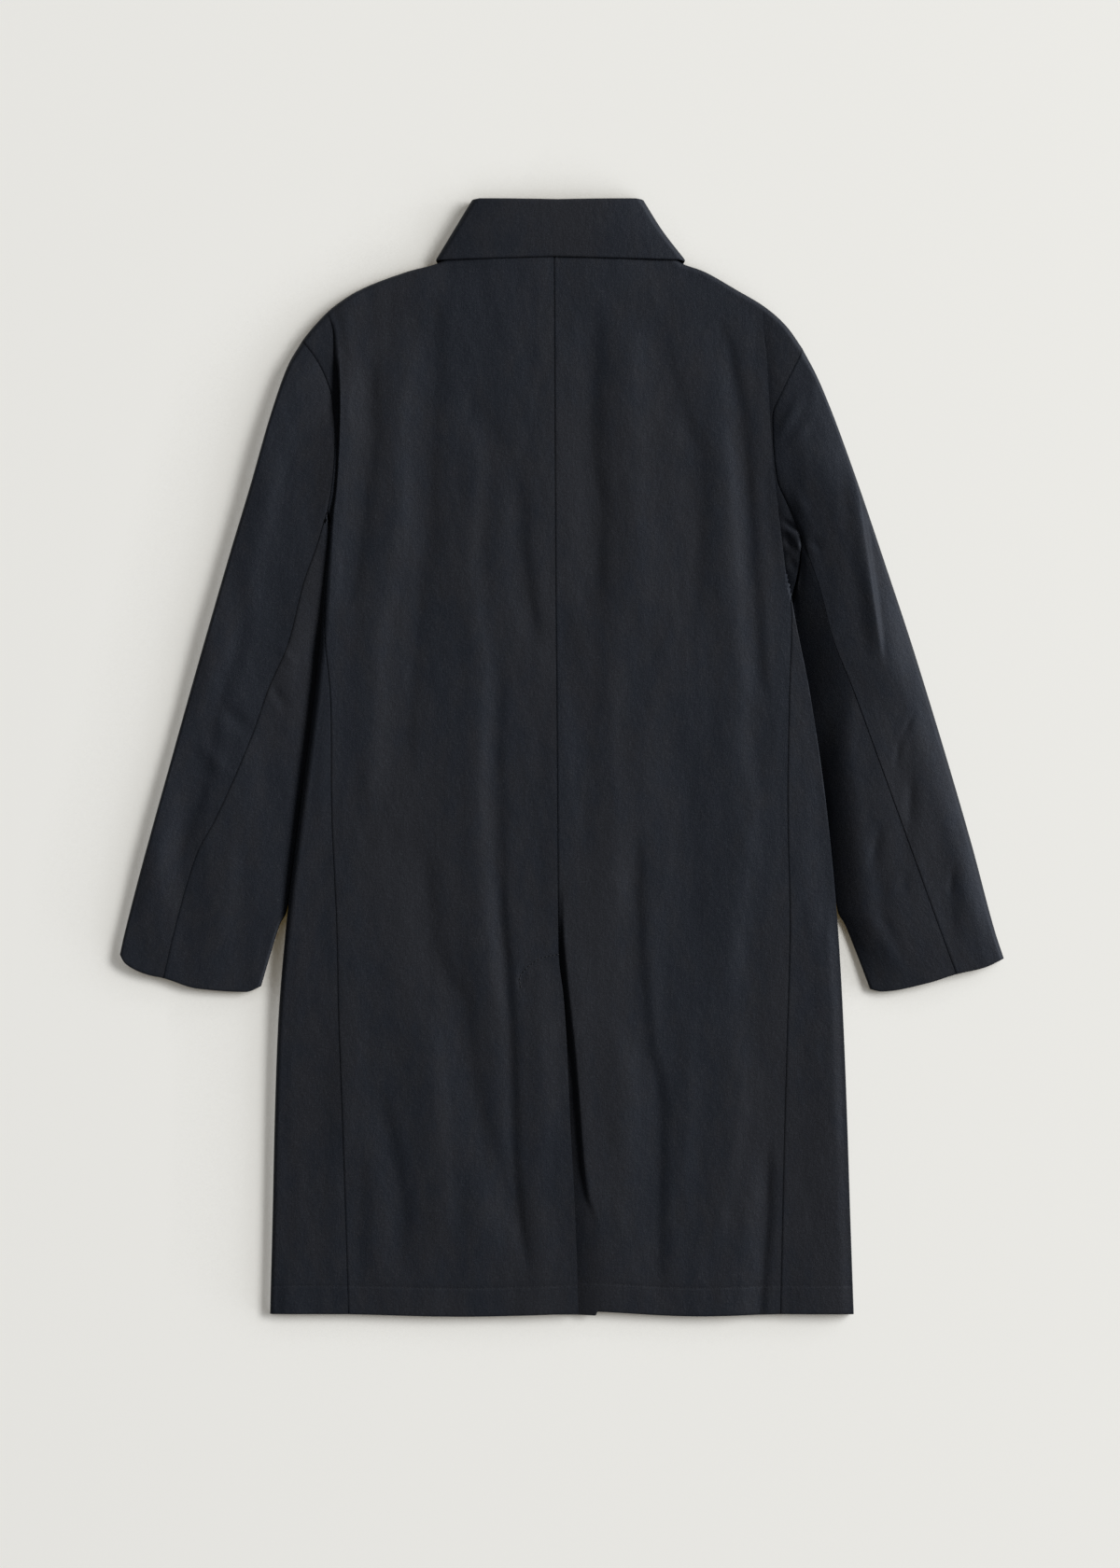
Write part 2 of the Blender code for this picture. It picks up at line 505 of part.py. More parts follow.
def front_grid(side):
    """One front: on the surface from its edge to the side fold, then up and over it to the side seam."""
    y = seam_rows(side)
    edge = np.column_stack([side_edge(side, y), y])
    outer = np.concatenate([along(FRONT_ARMHOLES[side], FRONT_STOPS), edge])
    edge_x = CENTRE_FRONT_X - side * FRONT_OVERLAP
    edge_y = NECKLINES[side][0][1]
    inner_y = np.concatenate([
        edge_y + (FRONT_UNDERARM_Y - edge_y) * FRONT_STOPS,
        np.linspace(FRONT_UNDERARM_Y, FRONT_HEM_Y, SIDE_ROWS + 1)[1:],
    ])
    inner = np.column_stack([np.full(len(inner_y), edge_x), inner_y])
    down = (edge_y - inner_y) / (edge_y - FRONT_HEM_Y)
    across = spaced(FRONT_RUNS)
    start = along([(edge_x, edge_y)] + NECKLINES[side] + SHOULDERS[side][1:], across)
    end = along([inner[-1], outer[-1]], across)
    flat = patch(start, end, inner, outer, across, down)
    wrapped = np.arange(len(down)) >= len(FRONT_STOPS) - 1
    at_armhole = flat[~wrapped]
    pull_in(at_armhole, first_row=SEAM / 2, last_column=SEAM / 2)
    flat[~wrapped] = at_armhole
    floor = np.dstack([flat, front_floor(side, flat, wrapped)])

    y = outer[:, 1]
    half = column(SIDES, "y", "height", y) / 2
    inset = seam_inset(side, y) - SEAM / 2 - STEEP_GAP * smooth(1 - seam_inset(side, y) / half)
    reaches = [np.minimum(half * row.half_share, inset * row.seam_share) for row in FOLD_COLUMNS]
    reaches += [reaches[-1] + (inset - reaches[-1]) * share for share in SEAM_COLUMNS]
    strips = []
    for reach in reaches:
        x = side_edge(side, y) - side * reach
        strips.append(np.column_stack([x, y, back_top(side, x, y)]))
    grid = np.concatenate([floor, np.stack(strips, axis=1)], axis=1)
    present = np.ones(grid.shape[:2], bool)
    present[~wrapped, floor.shape[1]:] = False
    return grid, present


def inner_edge(side):
    """The sleeve's inner fold: along the body, then free to the cuff."""
    free_y = INNER_FREE_EDGES[side][0][1]
    y = np.linspace(UNDERARM_Y[side] - SIDE_ROW_START, free_y + FREE_EDGE_RUN, BESIDE_BODY_POINTS)
    beside_body = np.column_stack([side_edge(side, y) + side * BODY_CLEARANCE, y])
    return np.concatenate([SLEEVE_UNDERARMS[side][:1], beside_body, INNER_FREE_EDGES[side]])


def cuff_line(side, first, last, shares):
    """Points of the cuff's edge between two of its places, each given by the point nearest it."""
    fine = np.linspace(0, 1, CUFF_POINTS)
    line = along(CUFFS[side], fine)
    ends = [fine[np.argmin(np.hypot(*(line - np.array(point)).T))] for point in (first, last)]
    return along(CUFFS[side], ends[0] + (ends[1] - ends[0]) * shares)


def sleeve_top(side, fold, fold_line, start_line, across):
    """Upper side of a sleeve piece, as rows from the armhole to the cuff, from its fold to the back seam."""
    down = SLEEVE_STOPS
    edge, seam = along(fold_line, down), along(BACK_SEAMS[side], down)
    start, end = along(start_line, across), cuff_line(side, edge[-1], seam[-1], across)
    flat = patch(start, end, edge, seam, across, down)
    tips = smooth(1 - across / TIP_SHARE)
    pull_in(flat, first_row=SEAM / 2 + TIP_GAP * tips, last_column=SEAM / 2)
    x, y = flat[..., 0], flat[..., 1]
    fold_height = column(SLEEVE_LEVELS[side], "share", fold, down)[:, None]
    seam_height = column(SLEEVE_LEVELS[side], "share", "seam", down)[:, None]
    full = fold_height + (seam_height - fold_height) * smooth(across)
    from_armhole = np.linalg.norm(flat - flat[:1], axis=-1)
    armhole = back_top(side, x[0], y[0])
    full = full + (armhole - full[0]) * np.exp(-from_armhole / ARMHOLE_SPREAD)
    full = full + folds(SLEEVE_FOLDS, x, y) * smooth(from_armhole / SLEEVE_FOLD_START)
    half = fold_height / 2
    to_fold = np.linalg.norm(flat - flat[:, :1], axis=-1)
    fold_width = np.minimum(half, FOLD_SHARE * to_fold[:, -1:])
    return np.dstack([flat, half + (full - half) * quarter(to_fold / fold_width)])


def sleeve_floor(side, fold, fold_line, shares, cuff_end):
    """Side of a sleeve piece on the surface, from the hidden seam to its fold."""
    down = SLEEVE_STOPS
    across = (shares - shares[0]) / (float(fold == "inner") - shares[0])
    edge = along(fold_line, down)
    hidden_end = along(CUFFS[side], shares[:1])[0]
    hidden = along([along(FRONT_ARMHOLES[side], shares[:1])[0], hidden_end], down)
    start = along(FRONT_ARMHOLES[side], shares)
    end = cuff_line(side, hidden_end, cuff_end, across)
    u, v = across[None, :, None], down[:, None, None]
    flat = (1 - u) * hidden[:, None] + u * edge[:, None]
    flat = flat + (1 - v) ** SLEEVE_END_FADE * (start - flat[0]) + v**SLEEVE_END_FADE * (end - flat[-1])
    flat[-1, :, 1] += HIDDEN_CUFF_LIFT * (1 - across)
    tips = smooth(1 - (1 - across) / TIP_SHARE)
    pull_in(flat, first_row=SEAM / 2 + TIP_GAP * tips, first_column=SEAM / 2)
    half = column(SLEEVE_LEVELS[side], "share", fold, down)[:, None] / 2
    to_fold = np.linalg.norm(flat - edge[:, None], axis=-1)
    return np.dstack([flat, half * (1 - quarter(to_fold / half))])


def sleeve_grid(side, fold):
    """A top sleeve, round the outer fold, or an under sleeve, round the inner one."""
    hidden = int(np.argmin(np.abs(FRONT_STOPS - HIDDEN_SEAM)))
    if fold == "outer":
        top = sleeve_top(side, fold, OUTER_EDGES[side], ARMHOLES[side], ARMHOLE_STOPS)
        floor = sleeve_floor(side, fold, OUTER_EDGES[side], FRONT_STOPS[hidden:0:-1], CUFFS[side][0])
    else:
        fold_line = inner_edge(side)
        start_line = SLEEVE_UNDERARMS[side] + [BACK_SEAMS[side][0]]
        top = sleeve_top(side, fold, fold_line, start_line, spaced(UNDER_SLEEVE_RUNS))
        floor = sleeve_floor(side, fold, fold_line, FRONT_STOPS[hidden:-1], CUFFS[side][-1])
    return np.concatenate([floor, top], axis=1)


def collar_half(side, down):
    """Half of the collar's outer face: from the centre back, round the side fold, to the leaf's front end."""
    back, leaf = spaced(COLLAR_BACK_RUNS), spaced(COLLAR_LEAF_RUNS)
    fold = along(COLLAR_SIDES[side], down)
    centre = along(COLLAR_CENTRE, down)
    ends = along(LEAF_ENDS[side], down)
    top, low = along([centre[0], fold[0]], back), along([centre[-1], fold[-1]], back)
    on_back = patch(top, low, centre, fold, back, down)
    top, low = along([fold[0], ends[0]], leaf), along([fold[-1], ends[-1]], leaf)
    on_leaf = patch(top, low, fold, ends, leaf, down)
    half = COLLAR_FOLD_HEIGHT / 2
    full = COLLAR_FOLD_HEIGHT + COLLAR_RISE * (1 - back**COLLAR_RISE_FADE)
    to_fold = np.linalg.norm(on_back - fold[:, None], axis=-1)
    back_z = half + (full - half) * quarter(to_fold / half)
    to_fold = np.linalg.norm(on_leaf - fold[:, None], axis=-1)
    leaf_z = half * (1 - quarter(to_fold / half))
    return np.concatenate([np.dstack([on_back, back_z]), np.dstack([on_leaf, leaf_z])[:, 1:]], axis=1)


def outward(grid):
    """Outward directions over a grid of points."""
    ways = []
    for axis in (0, 1):
        step = unit(np.diff(grid, axis=axis))
        first, last = np.take(step, [0], axis=axis), np.take(step, [-1], axis=axis)
        ways.append(np.concatenate([first, step], axis=axis) + np.concatenate([step, last], axis=axis))
    return unit(np.cross(ways[0], ways[1]))


def whole_collar(down):
    """Both halves of the collar, from the left leaf's end to the right one's."""
    left, right = collar_half(LEFT, down), collar_half(RIGHT, down)
    return np.concatenate([left[:, :0:-1], right], axis=1)


def collar_fall_grid():
    """The fall, from its lower edge to the roll, then round the roll."""
    grid = whole_collar(spaced(FALL_RUNS, COLLAR_START))
    away = outward(grid)[0]
    up = unit(grid[0] - grid[1])
    turns = np.radians(ROLL_TURNS)
    roll = [grid[0] + ROLL_RADIUS * (np.sin(a) * up - (1 - np.cos(a)) * away) for a in turns]
    return np.concatenate([np.stack(roll), grid])


def collar_stand_grid():
    """The stand, from just under the roll to the neck seam."""
    down = spaced(STAND_RUNS, COLLAR_START)
    fall = whole_collar(down)
    inside = fall - STAND_DEPTH * outward(fall)
    columns = inside.shape[1]
    from_back = np.abs(np.linspace(-1, 1, columns))
    to_front = smooth((from_back - STAND_NARROWS) / (1 - STAND_NARROWS))
    low = STAND_BACK + (STAND_FRONT - STAND_BACK) * to_front
    rows = []
    for share in STAND_ROWS:
        at = COLLAR_START + (low - COLLAR_START) * share
        rows.append([[np.interp(at[c], down, inside[:, c, k]) for k in range(3)] for c in range(columns)])
    return np.array(rows)


def oilskin(name):
    material = bpy.data.materials.new(name)
    material.use_nodes = True
    shader = material.node_tree.nodes["Principled BSDF"]
    shader.inputs["Base Color"].default_value = OILSKIN
    shader.inputs["Roughness"].default_value = OILSKIN_ROUGHNESS
    return material


def piece(name, collection, grid, flip, present=None):
    """A cloth wall: a sheet through a grid of points on its outer face, thickened inwards."""
    present = np.ones(grid.shape[:2], bool) if present is None else present
    number = np.full(present.shape, -1)
    number[present] = np.arange(present.sum())
    faces = []
    for r in range(present.shape[0] - 1):
        for c in range(present.shape[1] - 1):
            corners = [number[r, c], number[r + 1, c], number[r + 1, c + 1], number[r, c + 1]]
            if min(corners) >= 0:
                faces.append([int(corner) for corner in (corners[::-1] if flip else corners)])
    mesh = bpy.data.meshes.new(name)
    mesh.from_pydata((grid[present] * MM).tolist(), [], faces)
    mesh.materials.append(oilskin(name))
    wall = bpy.data.objects.new(name, mesh)
    collection.objects.link(wall)
    thicken = wall.modifiers.new("cloth", "SOLIDIFY")
    thicken.thickness = CLOTH * MM
    thicken.offset = -1


def main():
    for old in list(bpy.data.objects):
        bpy.data.objects.remove(old, do_unlink=True)
    coat = bpy.data.collections.new("oilskin_coat")
    bpy.context.scene.collection.children.link(coat)
    piece("back_left", coat, back_grid(LEFT), flip=True)
    grid, present = right_back_grid()
    piece("back_right", coat, grid, False, present)
    for side in (LEFT, RIGHT):
        grid, present = front_grid(side)
        piece("front_" + SIDE_NAMES[side], coat, grid, side == RIGHT, present)
        piece("sleeve_top_" + SIDE_NAMES[side], coat, sleeve_grid(side, "outer"), side == RIGHT)
        piece("sleeve_under_" + SIDE_NAMES[side], coat, sleeve_grid(side, "inner"), side == LEFT)
    piece("collar_fall", coat, collar_fall_grid(), flip=False)
    piece("collar_stand", coat, collar_stand_grid(), flip=False)


main()
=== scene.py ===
"""An oilskin coat laid out face down, so that its back shows: its cloth and sewing, the floor, light and camera.

+X is to the right of someone who looks down at the back, +Y towards the collar, +Z up off the floor.
Left and right are the sides in that view. Sizes of the cloth are in millimetres.
"""

import itertools
import math
from collections import namedtuple

import bpy
import numpy as np
from mathutils import Matrix


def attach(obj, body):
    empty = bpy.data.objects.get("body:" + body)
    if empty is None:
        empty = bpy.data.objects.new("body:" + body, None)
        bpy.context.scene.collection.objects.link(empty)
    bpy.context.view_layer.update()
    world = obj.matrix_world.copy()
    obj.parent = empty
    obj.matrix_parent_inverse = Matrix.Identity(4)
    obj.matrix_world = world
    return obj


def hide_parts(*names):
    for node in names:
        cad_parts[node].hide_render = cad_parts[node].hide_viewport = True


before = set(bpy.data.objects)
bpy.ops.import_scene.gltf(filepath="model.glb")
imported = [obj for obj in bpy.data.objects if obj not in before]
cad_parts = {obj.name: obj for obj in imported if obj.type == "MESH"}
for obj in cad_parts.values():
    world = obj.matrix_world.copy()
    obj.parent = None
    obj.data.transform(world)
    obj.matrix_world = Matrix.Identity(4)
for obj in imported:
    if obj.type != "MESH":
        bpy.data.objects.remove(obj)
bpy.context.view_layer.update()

# Back of the coat
# Two halves of waxed cotton, sewn together down the centre back as far as the vent. Below it the left half's free
# edge lies over the right half's underlap. The cloth drops over a fold beside each armhole and hangs in long ripples.
MM = 0.001
CLOTH = 2.0
SEAM = -0.1
LEFT, RIGHT = -1, 1
SIDE_NAMES = {LEFT: "left", RIGHT: "right"}
HEM_Y = -537.0
HEM_SAG = 2.4
NECK_Y = 497.0
NECK_SHOULDER = 52.0
CENTRE_BACK_TOP_X = -8.0
VENT_TOP_X, VENT_TOP_Y = -3.2, -190.0
BACK_LENGTH, BACK_WIDTH = 1035.0, 262.0
FINE_COLUMNS, ARMHOLE_POINTS, SIDE_POINTS = 700, 200, 400  # of curves, before the points are spaced out
CURVE_SHARES = np.linspace(0, 1, 60)  # where a curve is followed by straight runs

# The body's side fold, and how far in from it the side seam lies on the back
Side = namedtuple("Side", "y edge_left seam_left height_left edge_right seam_right height_right")
SIDES = [
    Side(235, -223.5, 1.5, 14.0, 208.0, 1.5, 11.8),
    Side(152, -230.3, 1.6, 14.0, 222.0, 1.6, 9.0),
    Side(130, -231.7, 2.5, 14.0, 226.0, 5.0, 8.6),
    Side(60, -238.5, 15.0, 13.8, 239.8, 21.0, 8.2),
    Side(-55, -253.2, 31.0, 13.2, 256.3, 39.0, 8.0),
    Side(-170, -266.8, 49.5, 12.0, 266.9, 47.6, 8.8),
    Side(-260, -274.0, 58.5, 10.0, 271.9, 55.0, 9.6),
    Side(-350, -277.2, 65.0, 9.0, 275.4, 61.0, 10.0),
    Side(-440, -279.2, 70.0, 8.6, 278.3, 66.0, 10.0),
    Side(-540, -281.8, 75.8, 8.2, 281.8, 71.6, 9.6),
]
UNDERARM_Y = {LEFT: 226.0, RIGHT: 150.0}
SIDE_ROW_START = 14.0
SIDE_DROPS = {LEFT: 0.5, RIGHT: 0.08}  # width of the fold's round over, as a share of its height

# Crest of the fold that the back drops over beside each armhole, and how far the cloth climbs again from its foot
Crest = namedtuple("Crest", "y x height drop foot climb", defaults=[0.0])
CRESTS = {
    LEFT: [
        Crest(432, -222.0, 12.0, 6.0, 11.8),
        Crest(411, -216.6, 13.0, 3.6, 11.6),
        Crest(390, -214.4, 14.2, 4.6, 11.6),
        Crest(370, -213.6, 15.0, 2.4, 9.6),
        Crest(343, -213.0, 15.6, 1.6, 9.0),
        Crest(311, -213.6, 15.4, 1.4, 11.7),
        Crest(281, -214.8, 14.8, 1.5, 12.5),
        Crest(254, -216.8, 14.4, 1.8, 12.0),
        Crest(238, -218.8, 14.2, 2.4, 11.0),
    ],
    RIGHT: [
        Crest(432, 193.0, 11.9, 0.06, 11.6, 0.4),
        Crest(411, 194.5, 12.0, 0.06, 10.4, 1.8),
        Crest(390, 196.6, 12.2, 0.06, 9.7, 2.5),
        Crest(376, 198.0, 12.2, 0.06, 9.7, 2.6),
        Crest(330, 200.4, 12.4, 0.06, 9.0, 3.2),
        Crest(305, 202.0, 12.4, 0.06, 10.0, 2.4),
        Crest(285, 203.2, 12.4, 0.06, 10.4, 2.2),
        Crest(260, 206.0, 12.0, 0.06, 9.6, 2.4),
        Crest(243, 208.0, 11.6, 0.06, 8.2, 3.4),
        Crest(220, 210.8, 11.0, 0.06, 6.2, 5.2),
        Crest(200, 213.2, 10.4, 0.1, 5.4, 6.0),
        Crest(170, 217.0, 9.4, 0.4, 5.0, 6.0),
    ],
}
CLIMB_REACH = 11.0
CREST_LEAVES_Y = {LEFT: (115.0, 140.0), RIGHT: (160.0, 180.0)}  # where it passes off the back, onto the front
CREST_SPREAD, SIDE_SPREAD, SPREAD_CHANGE_Y = 34.0, 90.0, (160.0, 40.0)
CREST_ROUND = 12.0
Level = namedtuple("Level", "y height")
BACK_LEVELS = [
    Level(500, 11.9), Level(430, 12.0), Level(300, 11.2), Level(0, 10.6), Level(-200, 10.6), Level(-540, 10.0),
]
NECK_DIP, NECK_DIP_X, NECK_DIP_Y = 2.2, (58.0, 108.0), (436.0, 480.0)
SHOULDERS = {
    LEFT: [(-103, 494), (-114, 481), (-118.0, 477.2), (-148.5, 468.6), (-193.5, 451.4), (-221.4, 433.4),
           (-239.4, 415.4), (-250.5, 401.6)],
    RIGHT: [(95, 494), (110, 481), (114.0, 477.2), (136.8, 468.6), (167.4, 451.4), (197.1, 433.4),
            (216.9, 415.4), (232.2, 393.8)],
}
SHOULDER_ROUND, SHOULDER_GAP = 4.8, 1.6
ARMHOLES = {
    LEFT: [(-250.5, 401.6), (-235.8, 381.2), (-226.8, 362.3), (-221.4, 343.4), (-219.0, 311.9),
           (-220.2, 280.4), (-222.8, 256), (-226.5, 238)],
    RIGHT: [(232.2, 393.8), (222.0, 373), (211.6, 352), (202.6, 329), (203.0, 308), (204.8, 284), (207.6, 266),
            (215.8, 247), (224.6, 228), (231.3, 212)],
}
UNDERARMS = {
    LEFT: [(-226.5, 238), (-223.4, 231), (-222.6, 224)],
    RIGHT: [(231.3, 212), (229.0, 190), (220.4, 150)],
}
CENTRE_BACK = [(CENTRE_BACK_TOP_X, NECK_Y), (-6.3, 160), (-5.4, 60), (VENT_TOP_X, VENT_TOP_Y), (1.3, -229),
               (4.6, -276), (7.7, -345), (12.9, -449), (16.0, -536.6)]

# Right half beside the vent: the crest of its fold, the drop of the wall to the left of it, the width of the hollow
# from the crest to the left half's edge, the fall of its floor and how much that floor bends
Vent = namedtuple("Vent", "y crest drop hollow fall bend", defaults=[1.0])
VENT = [
    Vent(-120, 2.0, 0.0, 5.0, 0.0),
    Vent(-150, 1.6, 0.8, 6.0, 0.9),
    Vent(-170, 1.8, 1.4, 6.3, 1.8),
    Vent(-206, 4.5, 1.9, 6.6, 2.2),
    Vent(-242, 8.1, 2.1, 8.1, 2.6),
    Vent(-278, 12.2, 2.1, 9.2, 2.7),
    Vent(-314, 15.3, 2.1, 11.4, 2.8),
    Vent(-350, 18.0, 2.1, 11.0, 2.8),
    Vent(-386, 20.7, 1.8, 12.4, 2.9),
    Vent(-422, 25.2, 0.9, 14.2, 3.0, 1.1),
    Vent(-442, 33.0, 0.0, 21.0, 3.2, 1.3),
    Vent(-472, 44.0, 0.0, 30.0, 3.8, 1.7),
    Vent(-540, 50.0, 0.0, 34.0, 4.0, 1.8),
]
VENT_WALL = 3.2
VENT_HEM_RISE, VENT_HEM_X, VENT_HEM_ROWS = 2.6, (150.0, 34.0), (90.0, 30.0)  # the right half's hem lies higher there
VENT_STRIP, VENT_STRIP_X, VENT_STRIP_ROWS = 3.8, (34.4, 32.6), 12.0  # and the underlap's corner peeps out below it
UNDERLAP_TOP, UNDERLAP, UNDERLAP_SLANT, UNDERLAP_COLUMNS = 4.0, 38.0, 22.0, 20

# The collar's front leaves, under the fronts, and its lower corners
STAND_DEPTH, LEAF_RAMP = 3.2, 70.0
COLLAR_TOP_Y = 539.5
COLLAR_SIDES = {
    LEFT: [(-85.5, COLLAR_TOP_Y), (-104.0, 509), (-122.0, 479.2)],
    RIGHT: [(77.4, COLLAR_TOP_Y), (96.5, 509), (119.4, 479.2)],
}
LEAF_ENDS = {LEFT: [(-9, 424), (-44, 357)], RIGHT: [(-3, 424), (32, 357)]}

# Long ripples: how much each rises, how far it spreads to the left and to the right, and its path down, as (y, x)
Ripple = namedtuple("Ripple", "rise left right path")
BACK_RIPPLES = [
    Ripple(1.2, 4, 20, ((-150, 3), (-206, 6), (-242, 10), (-278, 14), (-314, 17), (-350, 20), (-386, 23), (-422, 28),
                        (-442, 35), (-465, 44))),
    Ripple(-1.33, 18, 8, ((405, -184), (330, -184), (289, -186), (249, -191), (208, -196), (168, -201), (129, -213))),
    Ripple(-1.33, 22, 10, ((460, -124), (370, -123), (289, -128), (226, -129), (154, -139), (73, -146), (-35, -155))),
    Ripple(-1.25, 20, 10, ((-62, -144), (-116, -132), (-170, -126), (-210, -112), (-237, -96), (-318, -86),
                          (-363, -74), (-399, -62), (-440, -53), (-476, -49))),
    Ripple(-0.7, 20, 12, ((370, -93), (330, -76), (289, -60), (262, -50))),
    Ripple(-1.17, 14, 8, ((289, -47), (249, -41), (208, -40), (168, -36), (127, -27), (87, -19))),
    Ripple(-1.56, 22, 9, ((451, 31), (370, 30), (330, 28), (289, 29), (249, 35), (208, 33), (123, 32))),
    Ripple(-0.86, 18, 10, ((442, 88), (411, 94), (370, 101), (330, 115), (289, 131), (208, 130), (154, 123),
                          (109, 110))),
    Ripple(-1.56, 16, 7, ((433, 139), (402, 158), (370, 164), (330, 172), (249, 178), (168, 184), (87, 189),
                         (42, 198))),
    Ripple(-1.17, 14, 7, ((109, -60), (6, -64), (-75, -62), (-156, -60), (-197, -55), (-278, -50), (-377, -48),
                         (-440, -42), (-505, -32))),
    Ripple(-0.8, 7, 3.4, ((-100, -60), (-156, -57), (-203, -53), (-300, -48), (-378, -46), (-440, -41), (-505, -31))),
    Ripple(-1.72, 22, 7, ((-62, 71), (-156, 72), (-237, 77), (-278, 82), (-314, 91), (-359, 94), (-440, 92),
                         (-530, 92))),
    Ripple(-1.25, 30, 18, ((37, 113), (6, 121), (-75, 119), (-116, 122), (-197, 117))),
    Ripple(-1.25, 16, 8, ((-305, -177), (-359, -169), (-399, -160), (-440, -154), (-480, -155), (-516, -151))),
    Ripple(-0.78, 16, 9, ((-359, -196), (-413, -194), (-480, -192), (-530, -193))),
    Ripple(-1.8, 13, 6, ((-360, 198), (-440, 197), (-480, 194), (-540, 190), (-595, 188))),
    Ripple(1.3, 30, 40, ((-120, 246), (-200, 254), (-350, 262), (-450, 265), (-600, 268))),
    Ripple(0.86, 24, 11, ((415, -143), (370, -150), (330, -160), (249, -160), (190, -166), (132, -177), (87, -184),
                         (-35, -183), (-80, -180))),
    Ripple(0.94, 20, 9, ((334, -94), (271, -83), (190, -91), (109, -80), (46, -78), (-35, -82), (-98, -78),
                        (-206, -70), (-269, -63))),
    Ripple(1.17, 22, 14, ((433, 69), (370, 66), (226, 70), (109, 74))),
    Ripple(1.17, 20, 11, ((334, 153), (217, 162), (87, 168), (19, 170), (-44, 180), (-93, 176), (-134, 167),
                         (-251, 160))),
    Ripple(0.94, 20, 12, ((100, 40), (46, 46), (1, 46), (-62, 51), (-116, 50), (-161, 46))),
    Ripple(0.78, 16, 12, ((-224, -30), (-278, -19), (-359, -19), (-413, -25), (-476, -21), (-530, -10))),
    Ripple(1.17, 24, 13, ((-224, -135), (-278, -128), (-323, -123), (-399, -119), (-485, -112))),
    Ripple(0.86, 18, 11, ((-242, 46), (-287, 55), (-332, 62), (-377, 59), (-431, 62))),
    Ripple(0.86, 18, 10, ((-278, 123), (-318, 121), (-404, 117), (-449, 120))),
    Ripple(0.86, 20, 11, ((-251, 174), (-296, 171), (-350, 168), (-404, 158), (-449, 149), (-494, 145))),
]
RIPPLE_FADE = 55.0

# Small creases between two ends
Crease = namedtuple("Crease", "x0 y0 x1 y1 half_width rise")
BACK_CREASES = [
    Crease(209, 230, 229, 218, 2.8, -1.8),
    Crease(213, 220, 232, 212, 2.6, 1.8),
    Crease(213, 213, 224, 202, 3.4, -2.0),
    Crease(226, 213, 230, 196, 2.6, 1.8),
    Crease(216, 196, 228, 178, 3.6, -1.2),
    Crease(4, -189, -42, -210, 3.0, -0.9),
    Crease(-37, -200, -41, -228, 2.4, -0.9),
]
CREASE_FADE = 2.2

# Finer waves that no two places share: their size across and along the cloth, their height, and how many there are
# each way before they repeat
Wave = namedtuple("Wave", "across along height")
WAVES = [Wave(26.0, 110.0, 0.36), Wave(11.0, 26.0, 0.10)]
WAVE_PLACES, BACK_SEED = (97, 89), 3

# Spacing of the points: close to an edge, over the drop beside an armhole, and by the hem's stitching
EDGE = [0, 0.35, 0.8, 1.5, 2.4, 3.6]
CLOTH_STEP = 3.4
PULL_REACH, PULL_TOWARDS = 12.0, 9
SEAM_DIP, SEAM_DIP_WIDTH = 0.6, 0.9  # the cloth to the right of a seam rises from it
HEM_STITCH = 27.5
STITCH_DIP, STITCH_DIP_WIDTH = 0.3, 1.3
HEM_EDGE_DIP, HEM_EDGE_WIDTH = 1.1, 2.6


def through(known, values, at):
    """Values at some places on a smooth line through the known ones, with no overshoot."""
    known, values, at = (np.asarray(a, float) for a in (known, values, at))
    if known[0] > known[-1]:
        known, values = known[::-1], values[::-1]
    step = np.diff(known)
    slope = np.diff(values) / step
    tangent = np.concatenate([slope[:1], np.zeros(len(slope) - 1), slope[-1:]])
    same_way = slope[:-1] * slope[1:] > 0
    mean = 2 * slope[:-1] * slope[1:] / np.where(same_way, slope[:-1] + slope[1:], 1)
    tangent[1:-1] = np.where(same_way, mean, 0)
    at = np.clip(at, known[0], known[-1])
    i = np.clip(np.searchsorted(known, at) - 1, 0, len(step) - 1)
    f = (at - known[i]) / step[i]
    start = (1 + 2 * f) * (1 - f) ** 2 * values[i] + f * (1 - f) ** 2 * step[i] * tangent[i]
    end = f**2 * (3 - 2 * f) * values[i + 1] + f**2 * (f - 1) * step[i] * tangent[i + 1]
    return start + end


def column(table, key, name, at):
    """One column of a table, at some places along its key column."""
    return through([getattr(row, key) for row in table], [getattr(row, name) for row in table], at)


def lengths(points):
    """Length along a line of points, up to each of them."""
    return np.concatenate([[0], np.cumsum(np.linalg.norm(np.diff(points, axis=0), axis=1))])


def along(points, shares):
    """Points at some shares of the length of a smooth line through the given ones."""
    points = np.asarray(points, float)
    reach = lengths(points)
    at = np.asarray(shares, float) * reach[-1]
    return np.column_stack([through(reach, points[:, 0], at), through(reach, points[:, 1], at)])


def on_line(line, shares):
    """Points at some shares of the length of a line of many short runs."""
    reach = lengths(line)
    return np.column_stack([np.interp(shares, reach / reach[-1], line[:, k]) for k in (0, 1)])


def smooth(f):
    f = np.clip(f, 0, 1)
    return f * f * (3 - 2 * f)


def quarter(f):
    """Height of a quarter round, as a share, at a share of its width in from the edge."""
    return np.sqrt(1 - (1 - np.clip(f, 0, 1)) ** 2)


def eased(value, start, end):
    """Rises smoothly from 0 to 1 as a value goes from one place to another."""
    return smooth((value - start) / (end - start))


def bell(f):
    return np.exp(-(f**2))


def apart(points, others):
    return np.linalg.norm(points - others, axis=-1)


def patch(start, end, inner, outer, across, down):
    """Points between four edges: start and end run across, inner and outer run down."""
    u, v = across[None, :, None], down[:, None, None]
    ruled = (1 - v) * start[None] + v * end[None] + (1 - u) * inner[:, None] + u * outer[:, None]
    near = (1 - u) * start[0] + u * start[-1]
    far = (1 - u) * end[0] + u * end[-1]
    return ruled - (1 - v) * near - v * far


